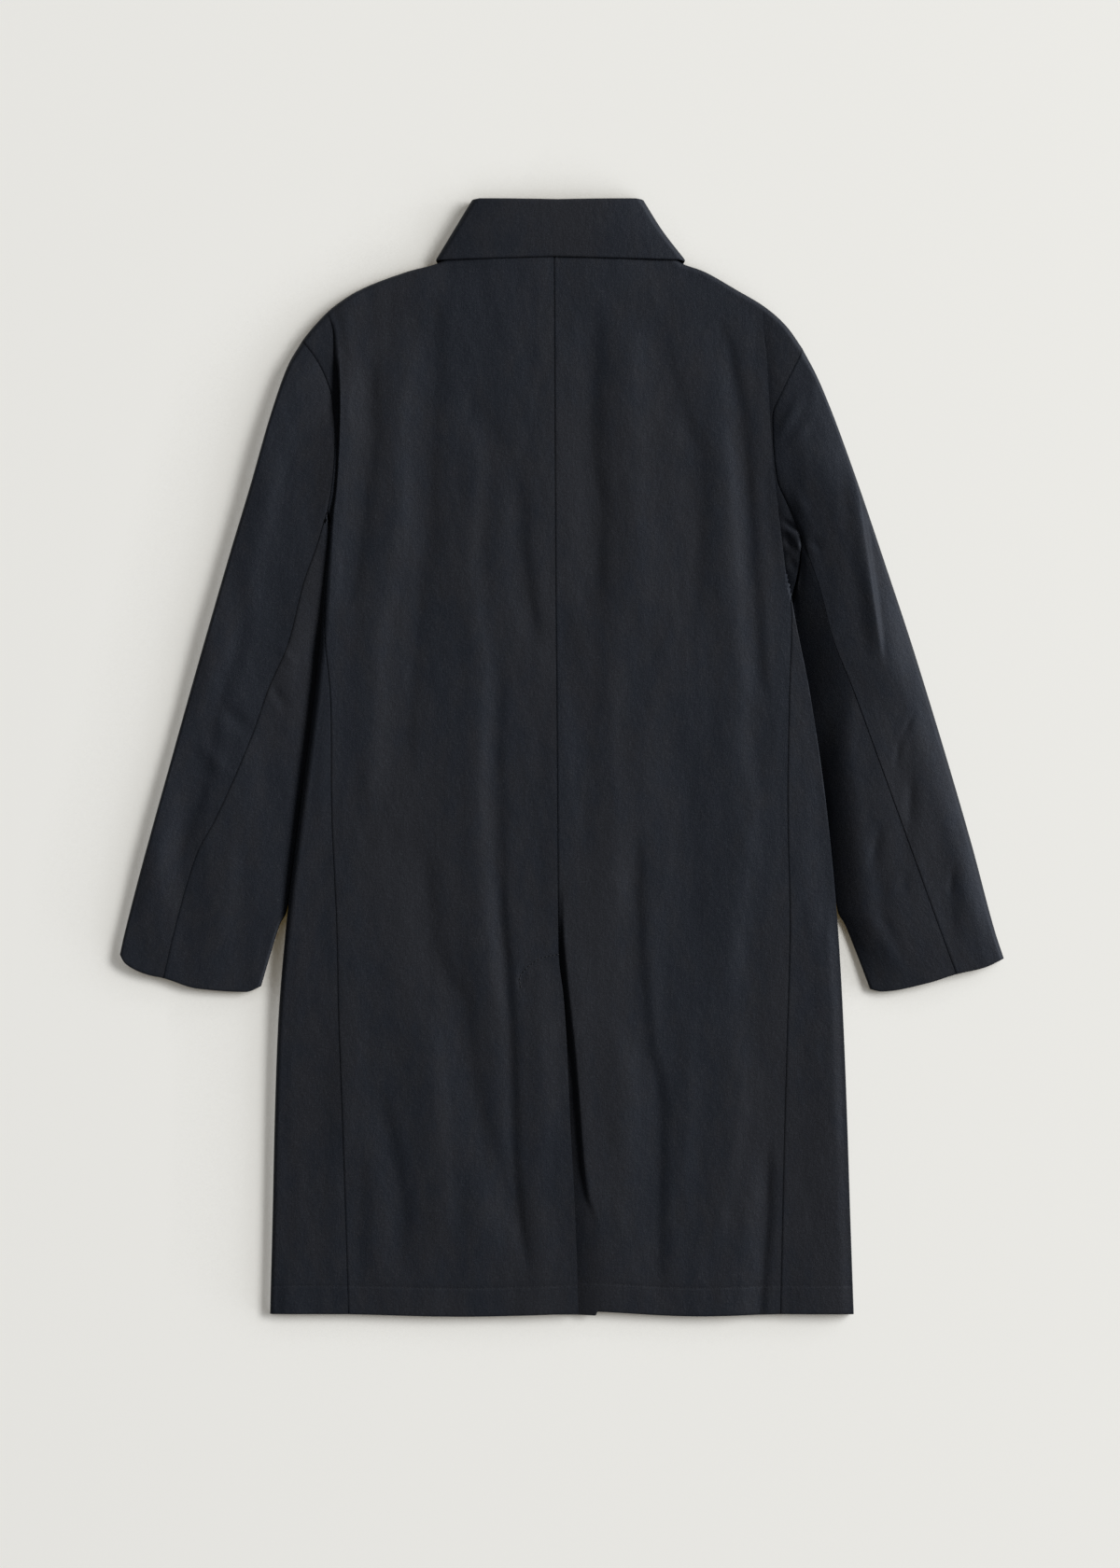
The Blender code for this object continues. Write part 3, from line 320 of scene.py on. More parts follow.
def stops(length, step, start=EDGE, end=EDGE):
    """Shares of a length, at even steps between the closer places given from its start and from its end."""
    count = max(int(round((length - start[-1] - end[-1]) / step)), 1)
    middle = np.linspace(start[-1], length - end[-1], count + 1)
    return np.concatenate([start[:-1], middle, length - np.array(end[-2::-1])]) / length


def spread(reach, step):
    """Close places from an edge, carried on at even steps for some way."""
    return EDGE + list(np.arange(EDGE[-1] + step, reach, step))


def unit(way):
    return way / np.linalg.norm(way, axis=-1, keepdims=True)


def pull_in(grid, **gaps):
    """Moves the named edges of a grid in, each square to itself by its gap, and what is near them less."""
    views = {"first_row": grid, "first_column": grid.swapaxes(0, 1), "last_column": grid.swapaxes(0, 1)[::-1]}
    for name, gap in gaps.items():
        lines = views[name]
        way = lines[PULL_TOWARDS] - lines[0]
        run = unit(np.gradient(lines[0], axis=0))
        square = unit(way - np.sum(way * run, axis=-1, keepdims=True) * run)
        square[[0, -1]] = square[[1, -2]]
        near = np.clip(1 - np.linalg.norm(lines - lines[:1], axis=-1, keepdims=True) / PULL_REACH, 0, 1)
        lines += near * square * np.reshape(gap, (-1, 1))


def ripples(table, x, y):
    """Height that a table of long ripples adds at some points."""
    total = np.zeros_like(x)
    for ripple in table:
        down = [place[0] for place in ripple.path]
        off = x - through(down, [place[1] for place in ripple.path], y)
        width = np.where(off < 0, ripple.left, ripple.right)
        fade = smooth((down[0] - y) / RIPPLE_FADE) * smooth((y - down[-1]) / RIPPLE_FADE)
        total += ripple.rise * fade * bell(off / width)
    return total


def creases(table, x, y):
    """Height that a table of small creases adds at some points."""
    total = np.zeros_like(x)
    for crease in table:
        run = np.array([crease.x1 - crease.x0, crease.y1 - crease.y0])
        length = np.linalg.norm(run)
        way = run / length
        share = ((x - crease.x0) * way[0] + (y - crease.y0) * way[1]) / length
        off = (x - crease.x0) * way[1] - (y - crease.y0) * way[0]
        fade = smooth(CREASE_FADE * np.minimum(share, 1 - share))
        total += crease.rise * fade * bell(off / crease.half_width)
    return total


def waves(across, along_cloth, seed):
    """Small uneven waves over the cloth, the same in each run."""
    total = np.zeros_like(across)
    for number, wave in enumerate(WAVES):
        heights = np.random.default_rng(seed + number).normal(size=WAVE_PLACES)
        u, v = across / wave.across, along_cloth / wave.along
        i, j = np.floor(u).astype(int), np.floor(v).astype(int)
        f, g = smooth(u - i), smooth(v - j)
        rows, columns = WAVE_PLACES
        corner = [heights[(i + a) % rows, (j + b) % columns] for a in (0, 1) for b in (0, 1)]
        first = (1 - g) * corner[0] + g * corner[1]
        second = (1 - g) * corner[2] + g * corner[3]
        total += wave.height * ((1 - f) * first + f * second)
    return total


def distance_to(line, x, y):
    """Distance from points to a line of straight runs."""
    nearest = np.full(x.shape, np.inf)
    for a, b in zip(line[:-1], line[1:]):
        run = b - a
        share = np.clip(((x - a[0]) * run[0] + (y - a[1]) * run[1]) / (run @ run), 0, 1)
        nearest = np.minimum(nearest, np.hypot(x - a[0] - share * run[0], y - a[1] - share * run[1]))
    return nearest


def side_edge(side, y):
    return column(SIDES, "y", "edge_" + SIDE_NAMES[side], y)


def seam_inset(side, y):
    return column(SIDES, "y", "seam_" + SIDE_NAMES[side], y)


def side_height(side, y):
    return column(SIDES, "y", "height_" + SIDE_NAMES[side], y)


def crest_rows(side):
    """The crest beside the armhole, carried on down the side fold to the hem."""
    rows = list(CRESTS[side])
    for row in SIDES:
        if row.y < rows[-1].y - CREST_ROUND:
            height = float(side_height(side, row.y))
            edge = float(side_edge(side, row.y))
            drop = SIDE_DROPS[side] * height
            rows.append(Crest(row.y, edge - side * drop, height, drop, height / 2))
    return rows


def leaf_lift(x, y):
    """How far a front is lifted where it lies on the collar's front leaves."""
    lift_from = np.full(np.shape(x), float(LEAF_ENDS[LEFT][1][1]))
    for side in (LEFT, RIGHT):
        corner_x, corner_y = COLLAR_SIDES[side][-1]
        point_x, point_y = LEAF_ENDS[side][1]
        slope = (corner_y - point_y) / (corner_x - point_x)
        lift_from = np.where(side * (x - point_x) > 0, point_y + slope * (x - point_x), lift_from)
    return STAND_DEPTH * smooth(1 - (lift_from - y) / LEAF_RAMP)


def back_level(x, y):
    """Height of the flat of the back, before its crests and ripples."""
    level = column(BACK_LEVELS, "y", "height", y)
    return level - NECK_DIP * eased(np.abs(x - CENTRE_BACK_TOP_X), *NECK_DIP_X) * eased(y, *NECK_DIP_Y)


def to_shoulder(side, x, y):
    return distance_to(along(SHOULDERS[side], CURVE_SHARES), x, y)


def back_top(side, x, y):
    """Height of the cloth's outer face on one half of the back, from the centre to the side fold."""
    rows = crest_rows(side)
    crest, height, drop, foot, climb = (column(rows, "y", name, y) for name in Crest._fields[1:])
    level = back_level(x, y)
    inward = side * (crest - x)
    far = through(SPREAD_CHANGE_Y, (CREST_SPREAD, SIDE_SPREAD), y)
    inside = level + (height - level) * np.exp(-np.maximum(inward, 0) / far)
    climb = climb * (1 - np.exp(np.minimum(inward + drop, 0) / CLIMB_REACH))
    outside = foot + (height - foot) * quarter(1 + inward / drop) + climb
    hung = ripples(BACK_RIPPLES, x, y) + waves(x, y, BACK_SEED)
    top = np.where(inward >= 0, inside, outside) + hung * smooth(inward / CREST_ROUND)
    top = top + creases(BACK_CREASES, x, y)
    middle = (top + leaf_lift(x, y) + SHOULDER_GAP) / 2
    return middle + (top - middle) * quarter(to_shoulder(side, x, y) / SHOULDER_ROUND)


def vent_drop(x, y):
    """How far the right half dips beside the vent and under the left half."""
    crest, drop, hollow, fall, bend = (column(VENT, "y", name, y) for name in Vent._fields[1:])
    inward = np.maximum(crest - x, 0)
    return drop * np.minimum(inward / VENT_WALL, 1) + fall * np.minimum(inward / hollow, 1) ** bend


def hem_dip(from_hem):
    """How the cloth sinks along the hem's stitching and rounds off at its folded edge."""
    at_stitches = STITCH_DIP * bell((from_hem - HEM_STITCH) / STITCH_DIP_WIDTH)
    return at_stitches + HEM_EDGE_DIP * (1 - quarter(from_hem / HEM_EDGE_WIDTH))


def seam_dip(grid, place):
    """How the cloth sinks into the seam along one column of a grid."""
    off = apart(grid, grid[:, [place]])
    return SEAM_DIP * bell(off / SEAM_DIP_WIDTH)


def side_line(side, y):
    """The side seam of one half of the back."""
    return np.column_stack([side_edge(side, y) - side * seam_inset(side, y), y])


NEAR_FOLD = spread(reach=12, step=1.2)
NEAR_CENTRE = spread(reach=30, step=1.3)
NEAR_CREST = spread(reach=24, step=1.4)
UP_TO_STITCHES, ACROSS_STITCHES = np.arange(5, 24, 2.0), np.arange(24.2, 31.0, 0.7)
NEAR_HEM = [*EDGE, *UP_TO_STITCHES, *ACROSS_STITCHES]
FREE_CREST, FREE_DROP, DROP_COLUMNS, FLAP_COLUMNS = 14.0, 0.5, 6, 16


def crest_columns(side, sheet, shares):
    """Shares of each row of the back at which its columns lie, so that two of them follow the crest and its foot."""
    rows = crest_rows(side)
    past = side * (sheet[..., 0] - column(rows, "y", "x", sheet[..., 1]))
    past_foot = past - column(rows, "y", "drop", sheet[..., 1])
    held = eased(sheet[:, -1, 1], *CREST_LEAVES_Y[side])
    free, least = 1 - FREE_CREST / BACK_WIDTH, FREE_DROP / BACK_WIDTH
    inside = stops(BACK_WIDTH - FREE_CREST, CLOTH_STEP, NEAR_CENTRE, NEAR_CREST)
    over = np.linspace(0, 1, DROP_COLUMNS + 1)[1:]
    flap = (1 - np.cos(np.linspace(0, math.pi, FLAP_COLUMNS + 1)[1:])) / 2
    columns = []
    for off, off_foot, hold in zip(past, past_foot, held):
        crest = hold * np.interp(0, np.maximum.accumulate(off), shares) + (1 - hold) * free
        foot = hold * np.interp(0, np.maximum.accumulate(off_foot), shares) + (1 - hold) * (free + least)
        foot = min(foot, 1 - least)
        crest = min(crest, foot - least / 2)
        columns.append(np.concatenate([inside * crest, crest + (foot - crest) * over, foot + (1 - foot) * flap]))
    return columns


def back_grid(side):
    """Outer face of one half of the back, as rows from the neck to the hem."""
    fine = np.linspace(0, 1, ARMHOLE_POINTS)
    seam = side_line(side, np.linspace(UNDERARM_Y[side] - SIDE_ROW_START, HEM_Y, SIDE_POINTS))
    edge = np.concatenate([along(ARMHOLES[side], fine), along(UNDERARMS[side], fine)[1:], seam])
    down = stops(BACK_LENGTH, CLOTH_STEP, NEAR_FOLD, NEAR_HEM)
    outer = on_line(edge, down)
    vent_down = np.interp(-VENT_TOP_Y, -outer[:, 1], down)
    centre_reach = lengths(np.array(CENTRE_BACK))
    vent_share = centre_reach[CENTRE_BACK.index((VENT_TOP_X, VENT_TOP_Y))] / centre_reach[-1]
    inner = along(CENTRE_BACK, through([0, vent_down, 1], [0, vent_share, 1], down))
    across = np.linspace(0, 1, FINE_COLUMNS)
    neck = [(CENTRE_BACK_TOP_X, NECK_Y), (CENTRE_BACK_TOP_X + side * NECK_SHOULDER, NECK_Y)]
    start = along(neck + SHOULDERS[side], across)
    middle = ((inner[-1][0] + outer[-1][0]) / 2, HEM_Y - HEM_SAG)
    end = along([inner[-1], middle, outer[-1]], across)
    sheet = patch(start, end, inner, outer, across, down)
    rows = zip(sheet, crest_columns(side, sheet, across))
    flat = np.stack([[np.interp(at, across, row[:, k]) for k in (0, 1)] for row, at in rows]).swapaxes(1, 2)
    pull_in(flat, first_row=SEAM / 2, first_column=SEAM / 2, last_column=SEAM / 2)
    height = back_top(side, flat[..., 0], flat[..., 1])
    height -= seam_dip(flat, -1 if side == LEFT else 0) + hem_dip(flat[..., 1] - flat[-1:, :, 1])
    return np.dstack([flat, height])


def right_back_grid():
    """The right half, with its underlap as extra columns that start at the top of the vent."""
    grid = back_grid(RIGHT)
    vent_row = int(np.argmin(np.abs(grid[:, 0, 1] - VENT_TOP_Y)))
    edge = grid[:, 0].copy()
    slant = smooth((edge[vent_row, 1] - edge[:, 1]) / UNDERLAP_SLANT)
    width = UNDERLAP_TOP + slant * (UNDERLAP + edge[:, 0] - UNDERLAP_TOP)
    below = np.arange(len(edge)) >= vent_row
    grid[below, :, 2] += seam_dip(grid[..., :2], 0)[below]
    strips = []
    for share in np.linspace(1, 0, UNDERLAP_COLUMNS, endpoint=False):
        x = edge[:, 0] - width * share
        height = back_level(x, edge[:, 1]) - hem_dip(edge[:, 1] - edge[-1, 1])
        strips.append(np.column_stack([x, edge[:, 1], height]))
    grid = np.concatenate([np.stack(strips, axis=1), grid], axis=1)
    grid[..., 2] -= vent_drop(grid[..., 0], grid[..., 1])
    from_hem = grid[..., 1] - grid[-1:, :, 1]
    lifted = eased(grid[..., 0], *VENT_HEM_X) * eased(from_hem, *VENT_HEM_ROWS)
    strip = eased(grid[..., 0], *VENT_STRIP_X) * smooth(1 - from_hem / VENT_STRIP_ROWS)
    grid[..., 1] += VENT_HEM_RISE * lifted - VENT_STRIP * strip
    present = np.ones(grid.shape[:2], bool)
    present[:vent_row, :UNDERLAP_COLUMNS] = False
    return grid, present


class Wire:
    """An output of a node. Arithmetic on it adds Math nodes."""

    def __init__(self, tree, socket=None):
        self.tree = tree
        self.socket = socket

    def node(self, kind, settings, inputs, output=0):
        """Adds a node: its settings are set first, then its sockets are given values or links."""
        made = self.tree.nodes.new(kind)
        for name, value in settings.items():
            setattr(made, name, value)
        for place, value in inputs.items():
            if isinstance(value, Wire):
                self.tree.links.new(value.socket, made.inputs[place])
            else:
                made.inputs[place].default_value = value
        return Wire(self.tree, made.outputs[output])

    def other(self, output):
        """Another output of the same node."""
        return Wire(self.tree, self.socket.node.outputs[output])

    def between(self, low, high):
        """Rises smoothly from 0 to 1 as this goes from one value to another."""
        return self.node("ShaderNodeMapRange", {"interpolation_type": "SMOOTHSTEP"}, {0: self, 1: low, 2: high})

    def mix(self, a, b):
        """A colour between two, which sockets 6 and 7 take, with this as the share of the second."""
        return self.node("ShaderNodeMix", {"data_type": "RGBA"}, {"Factor": self, 6: a, 7: b}, output=2)

    def into(self, socket):
        self.tree.links.new(self.socket, socket)

    def maths(self, operation, a, b):
        return self.node("ShaderNodeMath", {"operation": operation}, {0: a, 1: b})

    def __add__(self, other):
        return self.maths("ADD", self, other)

    def __sub__(self, other):
        return self.maths("SUBTRACT", self, other)

    def __rsub__(self, other):
        return self.maths("SUBTRACT", other, self)

    def __mul__(self, other):
        return self.maths("MULTIPLY", self, other)

    __radd__ = __add__
    __rmul__ = __mul__


# Waxed cotton: near-black navy that the wax turns brown in places, with a thread that shows close to
NAVY = (0.0101, 0.0118, 0.0162, 1.0)
BROWNED = (0.0130, 0.0131, 0.0154, 1.0)
DRY = (0.0236, 0.0252, 0.0302, 1.0)
OILSKIN_CONSTANTS = {
    "Specular IOR Level": 0.26,
    "Specular Tint": (0.74, 0.82, 1.0, 1.0),
    "Sheen Weight": 0.02,
    "Sheen Roughness": 0.5,
    "Sheen Tint": (0.70, 0.80, 1.0, 1.0),
}
THREAD = 0.0006
BUMP_DEPTH = 0.00022

# Clouds of noise on the cloth: how many there are in a metre, their detail, and how they are drawn out
Cloud = namedtuple("Cloud", "per_metre detail stretch")
CLOUDS = {
    "stains": Cloud(9, 4, (1, 0.35, 1)),
    "bloom": Cloud(55, 5, (1, 0.6, 1)),
    "specks": Cloud(420, 3, (1, 1, 1)),
    "warp": Cloud(950, 2, (1, 0.16, 1)),
    "weft": Cloud(950, 2, (0.16, 1, 1)),
    "crinkle": Cloud(120, 3, (1, 0.7, 1)),
}
CLOUD_ROUGHNESS = 0.6

# What each look of the cloth takes from them
THREADS = {"warp": 0.5, "weft": 0.5}
BROWNING, BROWN_BETWEEN, BROWN_DOWN = {"stains": 0.65, "bloom": 0.35}, (0.40, 0.62), 0.06  # browner towards the hem
DRYNESS, DRY_BETWEEN, DRY_MOST = {"specks": 0.45, "threads": 0.4, "bloom": 0.15}, (0.47, 0.74), 0.75
GLOSS, GLOSS_MIDDLE = {"stains": 0.4, "bloom": 0.35, "threads": 0.25}, 0.5
OILSKIN_ROUGHNESS, ROUGHNESS_CHANGE = 0.60, 0.24
RAISED = {"threads": 0.7, "weave": 0.10, "specks": 0.7, "crinkle": 1.5}


def new_material(name, constants):
    """A material, the sockets of its shader, and a wire to start its nodes from."""
    material = bpy.data.materials.new(name)
    material.use_nodes = True
    sockets = material.node_tree.nodes["Principled BSDF"].inputs
    for place, value in constants.items():
        sockets[place].default_value = value
    return material, sockets, Wire(material.node_tree)


def oilskin():
    material, sockets, start = new_material("oilskin", OILSKIN_CONSTANTS)
    cloth = start.node("ShaderNodeUVMap", {"uv_map": "grain"}, {})
    parts = {}
    for name, cloud in CLOUDS.items():
        place = start.node("ShaderNodeMapping", {}, {"Vector": cloth, "Scale": cloud.stretch})
        values = {"Scale": cloud.per_metre, "Detail": cloud.detail, "Roughness": CLOUD_ROUGHNESS, "Vector": place}
        parts[name] = start.node("ShaderNodeTexNoise", {"noise_dimensions": "2D"}, values)

    def blend(shares):
        first, *rest = [parts[name] * share for name, share in shares.items()]
        return sum(rest, first)

    parts["threads"] = blend(THREADS)
    across = start.node("ShaderNodeSeparateXYZ", {}, {0: cloth})
    turns = [axis * (2 * math.pi / THREAD) for axis in (across, across.other(1))]
    over, under = [start.node("ShaderNodeMath", {"operation": "SINE"}, {0: turn}) for turn in turns]
    parts["weave"] = over * under

    place = start.node("ShaderNodeTexCoord", {}, {}, output="Object")
    up_coat = start.node("ShaderNodeSeparateXYZ", {}, {0: place}, output=1)
    tone = (blend(BROWNING) - up_coat * BROWN_DOWN).between(*BROWN_BETWEEN).mix(NAVY, BROWNED)
    dry = blend(DRYNESS).between(*DRY_BETWEEN)
    (dry * DRY_MOST).mix(tone, DRY).into(sockets["Base Color"])
    gloss = blend(GLOSS) - GLOSS_MIDDLE
    (gloss * ROUGHNESS_CHANGE + OILSKIN_ROUGHNESS).into(sockets["Roughness"])
    bump = start.node("ShaderNodeBump", {}, {"Height": blend(RAISED), "Distance": BUMP_DEPTH})
    bump.into(sockets["Normal"])
    return material


OILSKIN = oilskin()
SHARP_FOLD = math.radians(50)
GRAIN_APART = 3.7  # metres between the places of the pattern that two pieces are cut from
PIECE_NUMBERS = itertools.count()


def grain_of(grid, reference):
    """Where each point of a grid lies on the flat cloth: across from one column, and down that column."""
    row = np.linalg.norm(np.diff(grid, axis=1), axis=-1)
    across = np.concatenate([np.zeros((len(grid), 1)), np.cumsum(row, axis=1)], axis=1)
    down = lengths(grid[:, reference])
    return np.dstack([across - across[:, [reference]], np.repeat(-down[:, None], grid.shape[1], axis=1)])


def add(name, data):
    """A new object in the scene."""
    thing = bpy.data.objects.new(name, data)
    bpy.context.scene.collection.objects.link(thing)
    return thing


def plain_mesh(thing):
    """The mesh that an object's modifiers make."""
    ready = thing.evaluated_get(bpy.context.evaluated_depsgraph_get())
    return bpy.data.meshes.new_from_object(ready)


def cloth_piece(node, grid, flip, present=None, grain=None):
    """A cloth wall that stands for a node: a sheet through points on its outer face, thickened inwards."""
    present = np.ones(grid.shape[:2], bool) if present is None else present
    index = np.full(present.shape, -1)
    index[present] = np.arange(present.sum())
    corners = np.stack([index[:-1, :-1], index[1:, :-1], index[1:, 1:], index[:-1, 1:]], axis=-1)
    corners = corners[(corners >= 0).all(axis=-1)]
    faces = corners[:, ::-1] if flip else corners
    name = node + "_cloth"
    mesh = bpy.data.meshes.new(name)
    mesh.from_pydata((grid[present] * MM).tolist(), [], faces.tolist())
    grain = grid[..., :2] if grain is None else grain
    place = grain[present] * MM + next(PIECE_NUMBERS) * GRAIN_APART
    layer = mesh.uv_layers.new(name="grain")
    layer.data.foreach_set("uv", place[faces.ravel()].astype(np.float32).ravel())
    mesh.shade_smooth()
    mesh.materials.append(OILSKIN)
    wall = add(name, mesh)
    thicken = wall.modifiers.new("cloth", "SOLIDIFY")
    thicken.thickness = CLOTH * MM
    thicken.offset = -1
    wall.data = plain_mesh(wall)
    wall.modifiers.clear()
    wall.data.set_sharp_from_angle(angle=SHARP_FOLD)
    for point in wall.data.vertices:
        point.co.z = max(point.co.z, 0)
    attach(wall, "root")
    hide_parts(node)
    return wall


left_grid = back_grid(LEFT)
back_left = cloth_piece("back_left", left_grid, flip=True)
right_grid, right_present = right_back_grid()
back_right = cloth_piece("back_right", right_grid, False, right_present)

# Fronts
# Two halves that lie on the floor, the right one lapped over the left at the centre front. Each wraps up and over
# the side fold to the side seam, so that a narrow strip of it shows on the back.
FRONT_HEM_Y = -534.0
FRONT_UNDERARM_Y = 200.0
CENTRE_FRONT_X = -6.0
FRONT_OVERLAP, OVERLAP_RAMP = 32.0, 14.0
LAYER = 2.7
UNDERARM_RISE = 28.0
FRONT_ARMHOLES = {
    LEFT: [(-250.5, 401.6), (-234, 376), (-222, 340), (-219, 311.9), (-220.2, 280.4), (-224.0, 226)],
    RIGHT: [(232.2, 393.8), (214, 356), (204.4, 312), (206, 270), (211, 215), (222.4, 150)],
}
NECKLINES = {
    LEFT: [(-6, 391), (-25, 393.5), (-68, 442), (-95, 479), (-103, 494)],
    RIGHT: [(-6, 391), (13, 393.5), (57, 442), (86, 479), (95, 494)],
}
FRONT_ARMHOLE_LENGTH, FRONT_SIDE_LENGTH, FRONT_WIDTH = 190.0, 735.0, 258.0
FRONT_STEP, HIDDEN_STEP = 6.0, 5.0  # between points of cloth that is out of sight
WRAP_COLUMNS, WRAP_CROWDING = 34, 1.6  # points from the side fold to the side seam, closer at the fold
SEAM_EDGE_SHARE = 0.2


def front_floor(side, flat, wrapped):
    """Height of a front's outer face on the floor: over the collar and the other front, up to its edges."""
    x, y = flat[..., 0], flat[..., 1]
    z = leaf_lift(x, y)
    if side == RIGHT:
        z = z + LAYER * smooth((CENTRE_FRONT_X + FRONT_OVERLAP + OVERLAP_RAMP - x) / OVERLAP_RAMP)
    middle = (back_level(x, y) + z - SHOULDER_GAP) / 2
    z = middle - (middle - z) * quarter(to_shoulder(side, x, y) / SHOULDER_ROUND)
    half = side_height(side, y) / 2
    rise = np.where(wrapped[:, None], 1, smooth(1 - (y - UNDERARM_Y[side]) / UNDERARM_RISE))
    return np.maximum(z, rise * half * (1 - quarter(np.abs(side_edge(side, y) - x) / half)))


def front_grid(side):
    """One front: on the floor from its edge to the side fold, then up and over it to the side seam."""
    down_armhole = stops(FRONT_ARMHOLE_LENGTH, HIDDEN_STEP, spread(reach=8, step=1.5))
    down_side = stops(FRONT_SIDE_LENGTH, CLOTH_STEP, [0, CLOTH_STEP], NEAR_HEM)
    y = UNDERARM_Y[side] - SIDE_ROW_START + (HEM_Y - UNDERARM_Y[side] + SIDE_ROW_START) * down_side
    edge = np.column_stack([side_edge(side, y), y])
    outer = np.concatenate([along(FRONT_ARMHOLES[side], down_armhole), edge])
    edge_x = CENTRE_FRONT_X - side * FRONT_OVERLAP
    edge_y = NECKLINES[side][0][1]
    below = FRONT_UNDERARM_Y - SIDE_ROW_START + (FRONT_HEM_Y - FRONT_UNDERARM_Y + SIDE_ROW_START) * down_side
    inner_y = np.concatenate([edge_y + (FRONT_UNDERARM_Y - edge_y) * down_armhole, below])
    inner = np.column_stack([np.full(len(inner_y), edge_x), inner_y])
    down = (edge_y - inner_y) / (edge_y - FRONT_HEM_Y)
    across = stops(FRONT_WIDTH, FRONT_STEP, EDGE, spread(reach=16, step=1.2))
    start = along([(edge_x, edge_y)] + NECKLINES[side] + SHOULDERS[side][1:], across)
    end = along([inner[-1], outer[-1]], across)
    flat = patch(start, end, inner, outer, across, down)
    wrapped = np.arange(len(down)) >= len(down_armhole) - 1
    at_armhole = flat[~wrapped]
    pull_in(at_armhole, first_row=SEAM / 2, last_column=SEAM / 2)
    flat[~wrapped] = at_armhole
    floor = np.dstack([flat, front_floor(side, flat, wrapped)])

    y = outer[:, 1]
    half = side_height(side, y)[:, None] / 2
    inset = seam_inset(side, y)[:, None] - SEAM / 2
    near_seam = np.minimum(np.array(EDGE[::-1]), SEAM_EDGE_SHARE * inset)
    rounds = np.linspace(0, 1, WRAP_COLUMNS - len(EDGE) + 1)[1:] ** WRAP_CROWDING
    up_to_seam = rounds * (inset - near_seam[:, :1])
    reaches = np.concatenate([up_to_seam, inset - near_seam[:, 1:]], axis=1)
    x = side_edge(side, y)[:, None] - side * reaches
    rows = np.repeat(y[:, None], reaches.shape[1], axis=1)
    over = np.dstack([x, rows, back_top(side, x, rows)])
    if side == RIGHT:
        over[..., 2] -= seam_dip(over[..., :2], -1) * smooth(inset / half)
    over[..., 2] -= hem_dip(rows - HEM_Y)
    grid = np.concatenate([floor, over], axis=1)
    present = np.ones(grid.shape[:2], bool)
    present[~wrapped, floor.shape[1]:] = False
    return grid, present


fronts, front_grids = {}, {}
for side in (LEFT, RIGHT):
    front_grids[side], present = front_grid(side)
    grain = grain_of(front_grids[side], 0)
    fronts[side] = cloth_piece("front_" + SIDE_NAMES[side], front_grids[side], side == RIGHT, present, grain)

# Sleeves
# Each is sewn from a top sleeve, round the outer fold, and an under sleeve, round the inner one, that meet in a seam
# down the back of the arm and in another on the floor. Both are set into the armhole and end in a plain hemmed cuff.
OUTER_EDGES = {
    LEFT: [(-250.5, 401.6), (-263.7, 379.4), (-279.9, 334.4), (-300.6, 262.4), (-322.2, 190.4), (-373.5, 10.4),
           (-422.1, -169.7), (-426.6, -190)],
    RIGHT: [(232.2, 393.8), (244.8, 370.4), (260.1, 334.4), (286.2, 262.4), (310.5, 190.4), (340.2, 100.4),
            (394.2, -79.7), (418.5, -169.7), (426.6, -194)],
}
BACK_SEAMS = {
    LEFT: [(-226.5, 238), (-236.5, 204.8), (-249.3, 168.8), (-264.6, 109.4), (-283.5, 66.2), (-297.9, 24.8),
           (-335.7, -61.7), (-351.9, -91.4), (-374.4, -167.9), (-384.8, -212.9)],
    RIGHT: [(231.3, 212), (237.6, 193), (248.4, 160.7), (261, 112), (279.9, 64.4), (310.5, -19.4),
            (340.2, -101.3), (365, -169.7), (379.8, -209.3)],
}
INNER_FREE_EDGES = {
    LEFT: [(-265.6, -149), (-272.0, -161), (-280.6, -188), (-290.3, -221)],
    RIGHT: [(266.4, -149), (273.0, -161), (284.0, -188), (297.5, -223.7)],
}
CUFFS = {
    LEFT: [(-426.6, -190), (-421, -199), (-398.7, -210), (-384.8, -212.9), (-351, -223.3), (-305, -226.4),
           (-290.3, -221)],
    RIGHT: [(426.6, -194), (406.8, -203), (379.8, -209.3), (352.8, -217.8), (308.3, -226), (297.5, -223.7)],
}
SLEEVE_UNDERARMS = {LEFT: [(-226.0, 229)], RIGHT: [(223.6, 148), (230.4, 190)]}
BODY_CLEARANCE, BESIDE_BODY_POINTS, FREE_FROM = -0.5, 12, 40.0
HIDDEN_SEAM, HIDDEN_CUFF_LIFT = 0.66, 2.0
SleeveLevel = namedtuple("SleeveLevel", "share outer seam inner even round ridge", defaults=[1.0])
SLEEVE_LEVELS = {
    LEFT: [
        SleeveLevel(0.0, 12.2, 11.0, 11.0, 0.15, 0.1),
        SleeveLevel(0.12, 12.4, 10.2, 10.0, 0.15, 0.1),
        SleeveLevel(0.2, 12.4, 9.2, 8.0, 0.15, 0.15),
        SleeveLevel(0.3, 12.0, 8.2, 5.6, 0.15, 0.2),
        SleeveLevel(0.7, 10.2, 8.6, 5.4, 0.15, 0.4),
        SleeveLevel(1.0, 8.6, 8.4, 7.0, 0.15, 1.0),
    ],
    RIGHT: [
        SleeveLevel(0.0, 11.4, 12.4, 4.4, 0.25, 0.3, 0.85),
        SleeveLevel(0.05, 12.0, 14.8, 3.2, 0.1, 0.3, 1.3),
        SleeveLevel(0.25, 13.2, 17.8, 2.9, 0.1, 0.3, 1.5),
        SleeveLevel(0.45, 13.6, 18.4, 2.8, 0.1, 0.4, 0.66),
        SleeveLevel(0.65, 13.0, 17.6, 2.8, 0.1, 0.4, 0.5),
        SleeveLevel(0.85, 11.4, 14.8, 3.2, 0.1, 0.6, 0.42),
        SleeveLevel(1.0, 9.0, 10.4, 5.4, 0.1, 1.0, 0.7),
    ],
}
